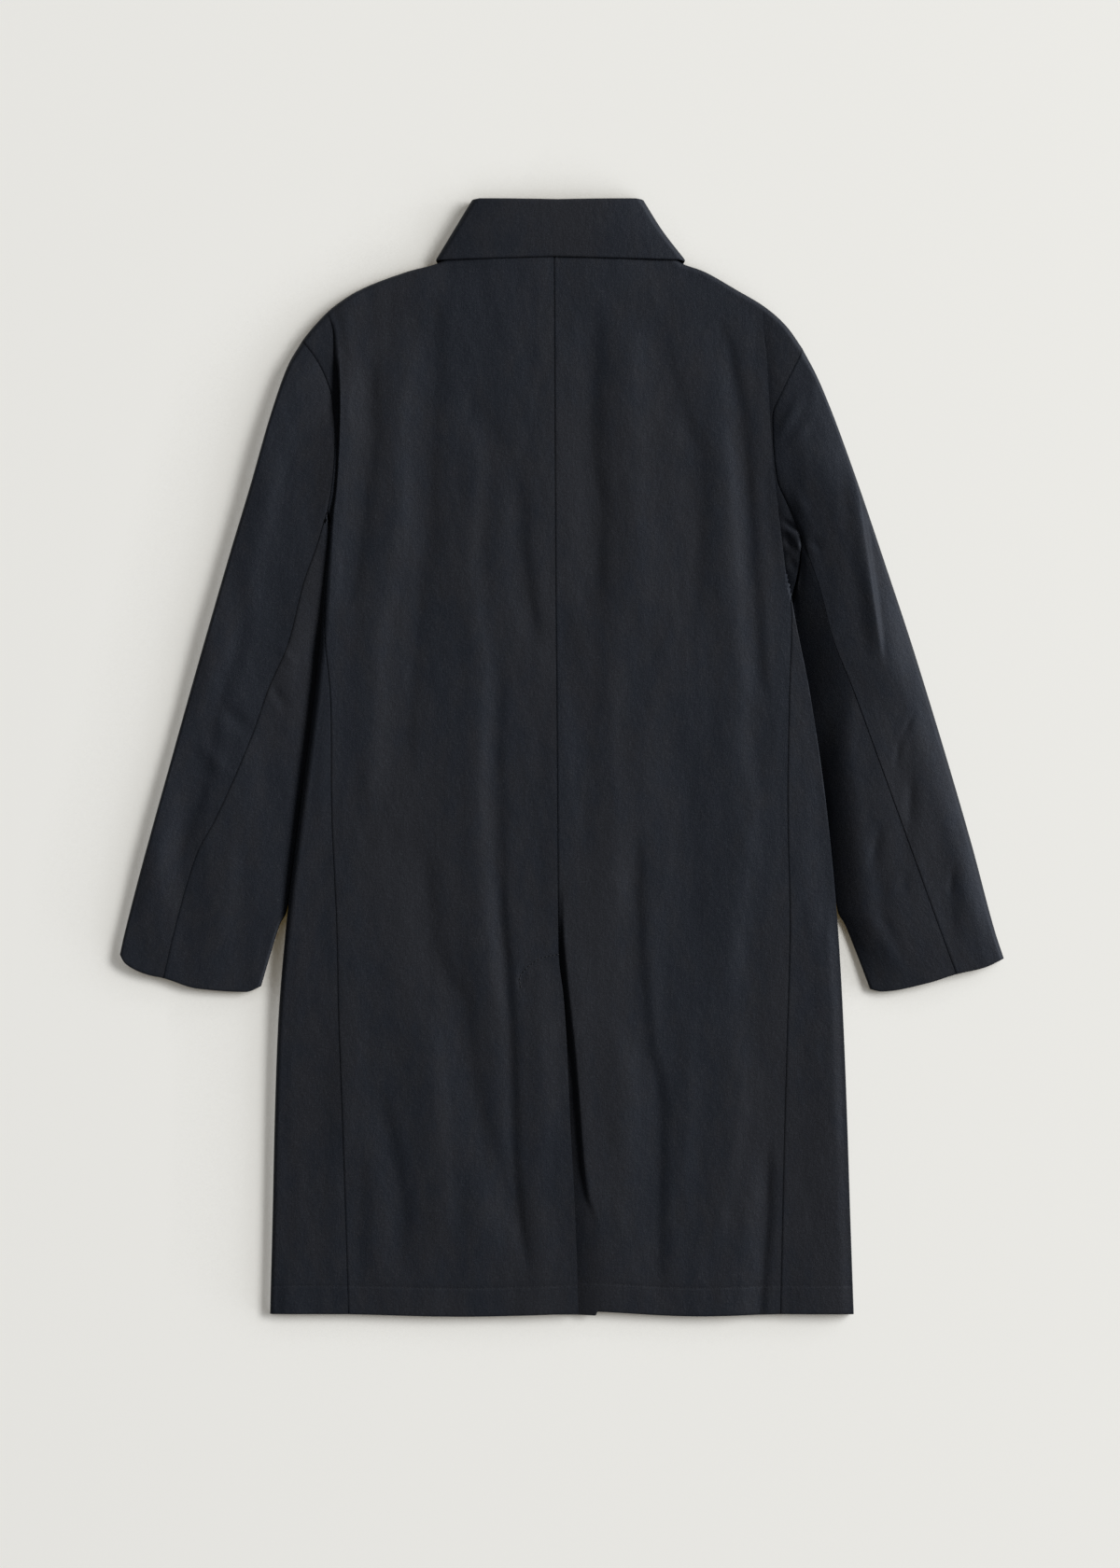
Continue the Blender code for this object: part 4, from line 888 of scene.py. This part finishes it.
OUTER_RIDGE = 0.4
ARMHOLE_SPREAD, SLEEVE_FOLD_START = {LEFT: 26.0, RIGHT: 8.0}, 40.0
TIP_GAP, TIP_SHARE, FOLD_SHARE = 0.3, 0.12, 0.7
SLEEVE_LENGTH, TOP_SLEEVE_WIDTH, UNDER_SLEEVE_WIDTH = 620.0, 130.0, 70.0
CUFF_EDGE, CUFF_POINTS = 2.4, 400
SLEEVE_SEED = 11
TOP_ARMHOLE_FADE, FLOOR_ARMHOLE_FADE, CUFF_FADE = 28, 4, 4
SLEEVE_RIPPLES = [
    Ripple(-1.28, 16, 9, ((200, -312), (127, -311), (87, -320), (46, -335), (6, -341), (-35, -350), (-75, -364),
                          (-120, -378))),
    Ripple(0.96, 18, 11, ((330, -270), (220, -290), (120, -320), (20, -352))),
    Ripple(0.96, 15, 10, ((-60, -384), (-120, -398), (-185, -410))),
    Ripple(0.88, 16, 10, ((-70, -318), (-140, -326), (-205, -330))),
    Ripple(3.6, 30, 60, ((310, 252), (249, 264), (208, 272), (154, 283), (100, 293), (40, 308))),
    Ripple(3.2, 11, 2.8, ((300, 277), (268, 283), (187, 295), (127, 303), (80, 309))),
    Ripple(-0.9, 12, 9, ((-30, 290), (-80, 298), (-120, 304), (-190, 318))),
    Ripple(-0.96, 16, 9, ((20, 332), (-35, 330), (-75, 329), (-120, 338))),
    Ripple(-0.96, 15, 9, ((-100, 376), (-156, 374), (-200, 380))),
    Ripple(0.96, 16, 10, ((-60, 380), (-120, 392), (-185, 404))),
]
SLEEVE_CREASES = [
    Crease(206, 304, 233, 352, 4.5, 1.4),
    Crease(214, 296, 240, 322, 5.0, 1.1),
    Crease(222, 262, 236, 226, 5.0, 1.0),
    Crease(236, 214, 252, 196, 4.0, -1.0),
    Crease(342, 48, 324, 14, 2.6, -0.7),
    Crease(326, 24, 320, -14, 3.0, -0.6),
    Crease(337, -8, 334, -80, 5.0, -1.0),
    Crease(308, -56, 298, -112, 4.0, -1.1),
    Crease(292, -126, 340, -214, 5.0, -0.9),
    Crease(333, -104, 325, -136, 3.2, -0.7),
    Crease(378, -100, 372, -140, 3.4, -0.8),
    Crease(-284, 76, -262, 40, 5.0, -0.7),
    Crease(-276, 112, -254, 84, 4.5, 0.5),
    Crease(-334, 56, -296, 18, 8.0, -1.2),
    Crease(-356, 22, -318, -22, 8.0, 1.1),
]


def inner_edge(side):
    """The sleeve's inner fold: along the body, then free to the cuff."""
    y = np.linspace(UNDERARM_Y[side] - SIDE_ROW_START, INNER_FREE_EDGES[side][0][1] + FREE_FROM, BESIDE_BODY_POINTS)
    beside_body = np.column_stack([side_edge(side, y) + side * BODY_CLEARANCE, y])
    return np.concatenate([SLEEVE_UNDERARMS[side][:1], beside_body, INNER_FREE_EDGES[side]])


def cuff_line(side, first, last, shares):
    """Points of the cuff's edge between two of its places, each given by the point nearest it."""
    fine = np.linspace(0, 1, CUFF_POINTS)
    line = along(CUFFS[side], fine)
    ends = [fine[np.argmin(np.hypot(*(line - np.array(point)).T))] for point in (first, last)]
    return along(CUFFS[side], ends[0] + (ends[1] - ends[0]) * shares)


def unrolled(grid, fold_column):
    """Where each point of a sleeve lies on the flat cloth: across from the fold, and along it."""
    fold = grid[:, fold_column, :2]
    way = unit(fold[-1] - fold[0])
    square = np.array([-way[1], way[0]])
    down = grid[..., :2] @ way
    off = np.abs(grid[..., :2] @ square - np.interp(down, fold @ way, fold @ square))
    return np.dstack([np.where(np.arange(grid.shape[1]) < fold_column, -off, off), -down])


SLEEVE_DOWN = stops(SLEEVE_LENGTH, CLOTH_STEP, spread(reach=10, step=1.5), spread(reach=8, step=1.5))


def sleeve_level(side, name):
    """One column of a sleeve's levels, at each of its rows of points."""
    return column(SLEEVE_LEVELS[side], "share", name, SLEEVE_DOWN)[:, None]


def quarter_wave(f):
    return np.sin(np.minimum(f, 1) * math.pi / 2)


def sleeve_sheet(first, second, start, end, across, armhole_fade):
    """Points between a sleeve's two long edges. The curves of the armhole and the cuff fade out from its ends."""
    u, v = across[None, :, None], SLEEVE_DOWN[:, None, None]
    flat = (1 - u) * first[:, None] + u * second[:, None]
    return flat + (1 - v) ** armhole_fade * (start - flat[0]) + v**CUFF_FADE * (end - flat[-1])


def sleeve_top(side, fold, fold_line, start_line, across):
    """Upper side of a sleeve piece, as rows from the armhole to the cuff, from its fold to the back seam."""
    down = SLEEVE_DOWN
    edge, seam = along(fold_line, down), along(BACK_SEAMS[side], down)
    start, end = along(start_line, across), cuff_line(side, edge[-1], seam[-1], across)
    flat = sleeve_sheet(edge, seam, start, end, across, TOP_ARMHOLE_FADE)
    tips = smooth(1 - across / TIP_SHARE)
    pull_in(flat, first_row=SEAM / 2 + TIP_GAP * tips, last_column=SEAM / 2)
    x, y = flat[..., 0], flat[..., 1]
    fold_height, seam_height, even = (sleeve_level(side, name) for name in (fold, "seam", "even"))
    climb = smooth(across)
    if side == RIGHT:
        ridge = sleeve_level(side, "ridge") if fold == "inner" else OUTER_RIDGE
        climb = quarter_wave(across / ridge) / quarter_wave(1 / ridge)
    climb = (1 - even) * climb + even * across
    full = fold_height + (seam_height - fold_height) * climb
    from_armhole = apart(flat, flat[:1])
    armhole = back_top(side, x[0], y[0])
    full = full + (armhole - full[0]) * np.exp(-from_armhole / ARMHOLE_SPREAD[side])
    hung = ripples(SLEEVE_RIPPLES, x, y) + waves(x, y, SLEEVE_SEED)
    full = full + hung * smooth(from_armhole / SLEEVE_FOLD_START)
    full = full + creases(SLEEVE_CREASES, x, y) * smooth(from_armhole / CREST_ROUND)
    if (side == RIGHT) == (fold == "outer"):
        full = full - seam_dip(flat, -1)
    if side == RIGHT:
        full = full - SEAM_DIP * bell(from_armhole / SEAM_DIP_WIDTH)
    half = fold_height / 2
    to_fold = apart(flat, flat[:, :1])
    rounded = sleeve_level(side, "round") if fold == "inner" else 1
    fold_width = np.minimum(half * rounded, FOLD_SHARE * to_fold[:, -1:])
    height = half + (full - half) * quarter(to_fold / fold_width)
    from_cuff = apart(flat, flat[-1:])
    return np.dstack([flat, height - (1 - quarter(from_cuff / CUFF_EDGE))])


def sleeve_floor(side, fold, fold_line, shares, cuff_end):
    """Side of a sleeve piece on the floor, from the hidden seam to its fold."""
    down = SLEEVE_DOWN
    across = (shares - shares[0]) / (float(fold == "inner") - shares[0])
    edge = along(fold_line, down)
    hidden_end = along(CUFFS[side], shares[:1])[0]
    hidden = along([along(FRONT_ARMHOLES[side], shares[:1])[0], hidden_end], down)
    start = along(FRONT_ARMHOLES[side], shares)
    end = cuff_line(side, hidden_end, cuff_end, across)
    flat = sleeve_sheet(hidden, edge, start, end, across, FLOOR_ARMHOLE_FADE)
    near_cuff = np.clip(1 - apart(flat, flat[-1:]) / PULL_REACH, 0, 1)
    flat[..., 1] += HIDDEN_CUFF_LIFT * (1 - across) * near_cuff
    tips = smooth(1 - (1 - across) / TIP_SHARE)
    pull_in(flat, first_row=SEAM / 2 + TIP_GAP * tips, first_column=SEAM / 2)
    half = sleeve_level(side, fold) / 2
    to_fold = apart(flat, edge[:, None])
    return np.dstack([flat, half * (1 - quarter(to_fold / half))])


def sleeve_grid(side, fold):
    """A top sleeve, round the outer fold, or an under sleeve, round the inner one, and the column of its fold."""
    if fold == "outer":
        fold_line, start_line, cuff_end = OUTER_EDGES[side], ARMHOLES[side], CUFFS[side][0]
        width, armhole_end = TOP_SLEEVE_WIDTH, 0
    else:
        fold_line, cuff_end = inner_edge(side), CUFFS[side][-1]
        start_line = SLEEVE_UNDERARMS[side] + [BACK_SEAMS[side][0]]
        width, armhole_end = UNDER_SLEEVE_WIDTH, 1
    top = sleeve_top(side, fold, fold_line, start_line, stops(width, CLOTH_STEP, NEAR_FOLD))
    hidden = stops(width, HIDDEN_STEP, EDGE, NEAR_FOLD)[:-1]
    floor = sleeve_floor(side, fold, fold_line, HIDDEN_SEAM + (armhole_end - HIDDEN_SEAM) * hidden, cuff_end)
    return np.concatenate([floor, top], axis=1), floor.shape[1]


for side in (LEFT, RIGHT):
    for fold, kind in (("outer", "top"), ("inner", "under")):
        grid, fold_column = sleeve_grid(side, fold)
        flip = (side == RIGHT) == (fold == "outer")
        node = f"sleeve_{kind}_{SIDE_NAMES[side]}"
        cloth_piece(node, grid, flip, grain=unrolled(grid, fold_column))

# Collar
# The fall turns over at the roll and lies on the back of the neck, with its leaves folded round to the front. The
# stand is the band inside it, sewn to the neck seam below.
COLLAR_CENTRE = [(-4.0, 537.6), (CENTRE_BACK_TOP_X, 482.4)]
COLLAR_FOLD_HEIGHT, COLLAR_RISE, COLLAR_FLATNESS = 12.6, 3.0, 4
ROLL_RADIUS, ROLL_ROWS = 2.6, 12
STAND_START, STAND_BACK, STAND_FRONT, STAND_NARROWS_FROM = 0.04, 0.68, 0.45, 0.5
STAND_ROWS, STAND_FINE_ROWS = 14, 40
COLLAR_START = 0.045
COLLAR_HEIGHT, COLLAR_BACK_WIDTH, LEAF_LENGTH = 62.0, 112.0, 150.0
FALL_STEP, FALL_FIRST_STEP, LEAF_STEP = 2.6, 2.0, 4.5
COLLAR_EDGE = 2.2
FALL_SETTLE, FALL_SETTLE_FROM = 1.2, 0.5  # its lower edge lies down on the back


def collar_half(side, down):
    """One half of the collar's outer face: from the centre back, round the side fold, to the leaf's front end."""
    back = stops(COLLAR_BACK_WIDTH, CLOTH_STEP, [0, CLOTH_STEP], NEAR_FOLD)
    leaf = stops(LEAF_LENGTH, LEAF_STEP, NEAR_FOLD)
    fold = along(COLLAR_SIDES[side], down)
    centre = along(COLLAR_CENTRE, down)
    ends = along(LEAF_ENDS[side], down)
    on_back = patch(along([centre[0], fold[0]], back), along([centre[-1], fold[-1]], back), centre, fold, back, down)
    on_leaf = patch(along([fold[0], ends[0]], leaf), along([fold[-1], ends[-1]], leaf), fold, ends, leaf, down)
    half = COLLAR_FOLD_HEIGHT / 2
    full = COLLAR_FOLD_HEIGHT + COLLAR_RISE * (1 - back**COLLAR_FLATNESS)
    to_fold = apart(on_back, fold[:, None])
    full = full - FALL_SETTLE * eased(down[:, None], FALL_SETTLE_FROM, 1)
    back_z = half + (full - half) * quarter(to_fold / half)
    to_fold = apart(on_leaf, fold[:, None])
    leaf_z = half * (1 - quarter(to_fold / half))
    return np.concatenate([np.dstack([on_back, back_z]), np.dstack([on_leaf, leaf_z])[:, 1:]], axis=1)


def outward(grid):
    """Outward directions over a grid of points."""
    ways = []
    for axis in (0, 1):
        step = unit(np.diff(grid, axis=axis))
        first, last = np.take(step, [0], axis=axis), np.take(step, [-1], axis=axis)
        ways.append(np.concatenate([first, step], axis=axis) + np.concatenate([step, last], axis=axis))
    return unit(np.cross(ways[0], ways[1]))


def whole_collar(down):
    """Both halves of the collar, from the left leaf's end to the right one's."""
    left, right = collar_half(LEFT, down), collar_half(RIGHT, down)
    return np.concatenate([left[:, :0:-1], right], axis=1)


def collar_fall_grid():
    """The fall, from its lower edge to the roll, then round the roll."""
    shares = stops(COLLAR_HEIGHT, FALL_STEP, [0, FALL_FIRST_STEP])
    grid = whole_collar(COLLAR_START + (1 - COLLAR_START) * shares)
    away = outward(grid)[0]
    up = unit(grid[0] - grid[1])
    turns = np.linspace(math.pi, 0, ROLL_ROWS, endpoint=False)
    roll = [grid[0] + ROLL_RADIUS * (np.sin(a) * up - (1 - np.cos(a)) * away) for a in turns]
    from_edge = apart(grid, grid[-1:])
    grid = grid - outward(grid) * (1 - quarter(from_edge / COLLAR_EDGE))[..., None]
    return np.concatenate([np.stack(roll), grid])


def collar_stand_grid():
    """The stand, from just under the roll to the neck seam."""
    down = np.linspace(COLLAR_START, 1, STAND_FINE_ROWS)
    fall = whole_collar(down)
    inside = fall - STAND_DEPTH * outward(fall)
    columns = inside.shape[1]
    from_back = np.abs(np.linspace(-1, 1, columns))
    low = STAND_BACK + (STAND_FRONT - STAND_BACK) * eased(from_back, STAND_NARROWS_FROM, 1)
    rows = []
    for share in np.linspace(STAND_START, 1, STAND_ROWS):
        at = COLLAR_START + (low - COLLAR_START) * share
        row = [[np.interp(at[c], down, inside[:, c, k]) for k in range(3)] for c in range(columns)]
        rows.append(row)
    return np.array(rows)


fall_grid, stand_grid = collar_fall_grid(), collar_stand_grid()
middle = fall_grid.shape[1] // 2
collar_fall = cloth_piece("collar_fall", fall_grid, False, grain=grain_of(fall_grid, middle))
collar_stand = cloth_piece("collar_stand", stand_grid, False, grain=grain_of(stand_grid, middle))

# Stitching
# A row of lockstitch in waxed thread runs along the hem wherever its upper side shows, and a short slanting one holds
# the top of the vent's underlap. Each stitch is a short thread pressed into the cloth.
STITCH_LENGTH, STITCH_GAP, STITCH_THICK = 2.5, 1.1, 0.5
STITCH_SUNK = 0.32
THREAD_COLOUR = (0.004, 0.005, 0.008, 1.0)
THREAD_PALE = (0.010, 0.011, 0.014, 1.0)
THREAD_ROUGHNESS, THREAD_ROUGHNESS_CHANGE = 0.7, 0.2
TWIST_PER_METRE, TWIST_DETAIL, TWIST_DEPTH = 900.0, 2.0, 0.0001
BALL = {"Segments": 6, "Rings": 4, "Radius": 0.5}  # a stitch is a ball one wide, drawn out to its size
VENT_STITCHES = [(-4, -190), (-17, -192.5), (-29, -199), (-36.3, -206), (-40.6, -213.5), (-39.6, -221)]
VENT_STITCH_THICK = 1.0


def stitching_thread():
    material, sockets, start = new_material("stitching_thread", {})
    place = start.node("ShaderNodeTexCoord", {}, {}, output="Object")
    values = {"Vector": place, "Scale": TWIST_PER_METRE, "Detail": TWIST_DETAIL}
    twist = start.node("ShaderNodeTexNoise", {}, values)
    twist.mix(THREAD_COLOUR, THREAD_PALE).into(sockets["Base Color"])
    least_rough = THREAD_ROUGHNESS - THREAD_ROUGHNESS_CHANGE / 2
    (twist * THREAD_ROUGHNESS_CHANGE + least_rough).into(sockets["Roughness"])
    start.node("ShaderNodeBump", {}, {"Height": twist, "Distance": TWIST_DEPTH}).into(sockets["Normal"])
    return material


def stitch_tree(material):
    """Lays stitches end to end along a line of edges, with a gap between them."""
    tree = bpy.data.node_groups.new("stitches", "GeometryNodeTree")
    face = tree.interface
    face.new_socket("Line", in_out="INPUT", socket_type="NodeSocketGeometry")
    names = {}
    for name in ("Stitch", "Gap", "Thickness"):
        names[name] = face.new_socket(name, in_out="INPUT", socket_type="NodeSocketFloat").identifier
    face.new_socket("Stitches", in_out="OUTPUT", socket_type="NodeSocketGeometry")

    start = Wire(tree)
    given = start.node("NodeGroupInput", {}, {})
    stitch, gap, thick = (given.other(name) for name in names)
    line = start.node("GeometryNodeMeshToCurve", {}, {"Mesh": given})
    points = start.node("GeometryNodeCurveToPoints", {"mode": "LENGTH"}, {"Curve": line, "Length": stitch + gap})
    ball = start.node("GeometryNodeMeshUVSphere", {}, BALL)
    size = start.node("ShaderNodeCombineXYZ", {}, {0: thick, 1: thick, 2: stitch})
    laid = {"Points": points, "Instance": ball, "Rotation": points.other("Rotation"), "Scale": size}
    placed = start.node("GeometryNodeInstanceOnPoints", {}, laid)
    real = start.node("GeometryNodeRealizeInstances", {}, {"Geometry": placed})
    thread = start.node("GeometryNodeSetMaterial", {}, {"Geometry": real, "Material": material})
    thread.into(tree.nodes.new("NodeGroupOutput").inputs["Stitches"])
    return tree, names


STITCHES, STITCH_INPUTS = stitch_tree(stitching_thread())


def stitches(name, line, thick=STITCH_THICK):
    """Stitches along a line of points, as a plain mesh."""
    mesh = bpy.data.meshes.new(name + "_line")
    edges = [(i, i + 1) for i in range(len(line) - 1)]
    mesh.from_pydata((np.asarray(line) * MM).tolist(), edges, [])
    guide = add(name + "_line", mesh)
    sewing = guide.modifiers.new("sewing", "NODES")
    sewing.node_group = STITCHES
    for label, value in (("Stitch", STITCH_LENGTH), ("Gap", STITCH_GAP), ("Thickness", thick)):
        sewing[STITCH_INPUTS[label]] = value * MM
    sewn = add(name, plain_mesh(guide))
    bpy.data.objects.remove(guide, do_unlink=True)
    sewn.data.shade_smooth()
    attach(sewn, "root")
    return sewn


def hem_line(grid, columns):
    """The hem's stitching line over some columns of a grid whose last row is the hem."""
    line = []
    for c in columns:
        from_hem = grid[:, c, 1] - grid[-1, c, 1]
        order = np.argsort(from_hem)
        line.append([np.interp(HEM_STITCH, from_hem[order], grid[order, c, k]) for k in range(3)])
    line = np.array(line)
    line[:, 2] += STITCH_THICK / 2 - STITCH_SUNK
    return line


SKIP_SEAM, SKIP_FOLD = 4, 14  # columns of points beside a seam, and round the side fold, that get no stitches


def columns_of(grid, first=SKIP_SEAM):
    return range(first, grid.shape[1] - SKIP_SEAM)


hem_left = stitches("hem_stitches_back_left", hem_line(left_grid, columns_of(left_grid)))
hem_right = stitches("hem_stitches_back_right", hem_line(right_grid, columns_of(right_grid)))
vent_at = along(VENT_STITCHES, CURVE_SHARES)
from_above = [back_left.ray_cast((x * MM, y * MM, 1), (0, 0, -1))[1] for x, y in vent_at]
vent_z = np.array([place.z for place in from_above]) / MM + VENT_STITCH_THICK / 2 - STITCH_SUNK
vent_sewing = stitches("vent_stitches", np.column_stack([vent_at, vent_z]), VENT_STITCH_THICK)
for side, grid in front_grids.items():
    over = columns_of(grid, grid.shape[1] - WRAP_COLUMNS + SKIP_FOLD)
    stitches("hem_stitches_front_" + SIDE_NAMES[side], hem_line(grid, over))

# Floor
# A plain pale table top, matt and a little uneven. It glows faintly, so that shadows on it stay light, and its glow
# is cut back into a painted shadow, warm and dark, where the coat stands between it and the light and in the narrow
# gaps between sleeve and body.
FLOOR_HALF, FLOOR_DOWN = 6.0, 0.0003
FLOOR_COLOUR = (0.460, 0.457, 0.440, 1.0)
FLOOR_SHADE = (0.445, 0.441, 0.425, 1.0)
FLOOR_CLOUDS, FLOOR_DETAIL = 1.2, 3.0
FLOOR_CONSTANTS = {"Roughness": 0.9, "Specular IOR Level": 0.1, "Emission Strength": 0.435}
# The glow in full and the warm dark colour of the painted shadow that it turns to. Then how far and which ways the
# floor looks for the coat, how the painted shadow grows towards the coat's side, and how much darker it is painted in
# narrow gaps.
FLOOR_GLOW, FLOOR_PAINTED_SHADOW = (1.0, 0.99, 0.95, 1.0), (0.09, 0.055, 0.0, 1.0)
SHADE_REACH, SHADE_SAMPLES = 0.11, 6
TO_LIGHT, FROM_LIGHT = [(0.92, 0.34, 0.2), (0.92, -0.3, 0.2)], (-0.95, -0.1, 0.28)
SHADE_FROM, SHADE_TO, SHADE_LEAST = 0.77, 0.962, 0.36
EDGE_OPEN, EDGE_CLOSED, EDGE_LIT = 0.74, 0.5, 0.9  # right at the coat's edge the painted shadow gives way again, as the light's own shadow is enough there
GAP_PAINTED_SHADE = 6.0


def floor_finish():
    material, sockets, start = new_material("floor", FLOOR_CONSTANTS)
    place = start.node("ShaderNodeTexCoord", {}, {}, output="Object")
    cloud = start.node("ShaderNodeTexNoise", {}, {"Vector": place, "Scale": FLOOR_CLOUDS, "Detail": FLOOR_DETAIL})
    cloud.mix(FLOOR_COLOUR, FLOOR_SHADE).into(sockets["Base Color"])

    def open_towards(way):
        """Share of the view from the floor in one direction that nothing close to it shuts off."""
        leaning = start.node("ShaderNodeCombineXYZ", {}, dict(enumerate(way)))
        near = {"Distance": SHADE_REACH, "Normal": leaning}
        return start.node("ShaderNodeAmbientOcclusion", {"samples": SHADE_SAMPLES}, near, output=1)

    def ramp(value, low, high, at_low, at_high):
        return start.node("ShaderNodeMapRange", {}, {0: value, 1: low, 2: high, 3: at_low, 4: at_high})

    # Painted shadow: the glow fades where the coat shuts off the view towards the light. It drops to the painted dark
    # shade where the floor is shut in on both sides, between sleeve and body.
    ahead, behind = start.maths("MAXIMUM", *map(open_towards, TO_LIGHT)), open_towards(FROM_LIGHT)
    shade = ramp(ahead, SHADE_FROM, SHADE_TO, SHADE_LEAST, 1.0)
    at_edge = ramp(ahead, EDGE_OPEN, EDGE_CLOSED, 0.0, EDGE_LIT)
    lit = start.maths("MAXIMUM", shade, at_edge) - (1 - ahead) * (1 - behind) * GAP_PAINTED_SHADE
    lit.mix(FLOOR_PAINTED_SHADOW, FLOOR_GLOW).into(sockets["Emission Color"])
    return material


floor_mesh = bpy.data.meshes.new("floor")
corners = [(x * FLOOR_HALF, y * FLOOR_HALF, -FLOOR_DOWN) for x, y in ((-1, -1), (1, -1), (1, 1), (-1, 1))]
floor_mesh.from_pydata(corners, [], [(0, 1, 2, 3)])
floor_mesh.materials.append(floor_finish())
add("floor", floor_mesh)

# Light
# A large soft light low on the right, a softer one above the collar, weak ones from the left and below the hem, and a
# pale room that is darker overhead.
ROOM_LOW, ROOM_HIGH = (0.40, 0.405, 0.40, 1.0), (0.022, 0.023, 0.025, 1.0)
ROOM_LOW_TO, ROOM_HIGH_FROM = 0.02, 0.25
Lamp = namedtuple("Lamp", "name turn rise far size power colour")
LAMPS = [
    Lamp("right_light", turn=20, rise=31, far=20.0, size=(12.0, 5.0), power=6050.0, colour=(1.0, 1.0, 0.99)),
    Lamp("collar_light", turn=100, rise=30, far=10.0, size=(6.0, 5.0), power=40.0, colour=(1.0, 1.0, 0.99)),
    Lamp("left_light", turn=185, rise=30, far=10.0, size=(6.0, 5.0), power=10.0, colour=(0.97, 0.99, 1.0)),
    Lamp("hem_light", turn=270, rise=30, far=10.0, size=(6.0, 5.0), power=50.0, colour=(1.0, 0.99, 0.97)),
]
world = bpy.data.worlds.new("room")
bpy.context.scene.world = world
world.use_nodes = True
room = Wire(world.node_tree)
direction = room.node("ShaderNodeTexCoord", {}, {})
upward = room.node("ShaderNodeSeparateXYZ", {}, {0: direction}, output=2)
sky = upward.between(ROOM_LOW_TO, ROOM_HIGH_FROM).mix(ROOM_LOW, ROOM_HIGH)
sky.into(world.node_tree.nodes["Background"].inputs["Color"])


def look_at(thing, place, target, up):
    """Puts a lamp or a camera at a place, turned to a target."""
    back = unit(np.array(place, float) - np.array(target, float))
    right = unit(np.cross(up, back))
    above = np.cross(back, right)
    rows = [[right[k], above[k], back[k], place[k]] for k in range(3)]
    thing.matrix_world = Matrix(rows + [[0, 0, 0, 1]])


for lamp in LAMPS:
    data = bpy.data.lights.new(lamp.name, "AREA")
    data.shape = "RECTANGLE"
    data.size, data.size_y = lamp.size
    data.energy = lamp.power
    data.color = lamp.colour
    turn, rise = math.radians(lamp.turn), math.radians(lamp.rise)
    way = np.array([math.cos(turn) * math.cos(rise), math.sin(turn) * math.cos(rise), math.sin(rise)])
    look_at(add(lamp.name, data), way * lamp.far, (0, 0, 0), (0, 0, 1))

# Camera
# Straight above the coat, as far off as for a flat lay, with the coat a little above the middle of the picture.
CAMERA_HEIGHT = 4.0
PICTURE_LONG_SIDE = 1.512  # metres of floor along the picture's long side
PICTURE_CENTRE = (-0.0018, -0.0257)
SENSOR = 36.0
MIDDLE_OF_CLOTH = 0.008
camera_data = bpy.data.cameras.new("camera")
camera_data.sensor_width = SENSOR
camera_data.lens = SENSOR * (CAMERA_HEIGHT - MIDDLE_OF_CLOTH) / PICTURE_LONG_SIDE
camera = add("camera", camera_data)
look_at(camera, (*PICTURE_CENTRE, CAMERA_HEIGHT), (*PICTURE_CENTRE, 0), (0, 1, 0))
bpy.context.scene.camera = camera
bpy.context.scene.view_settings.view_transform = "Standard"
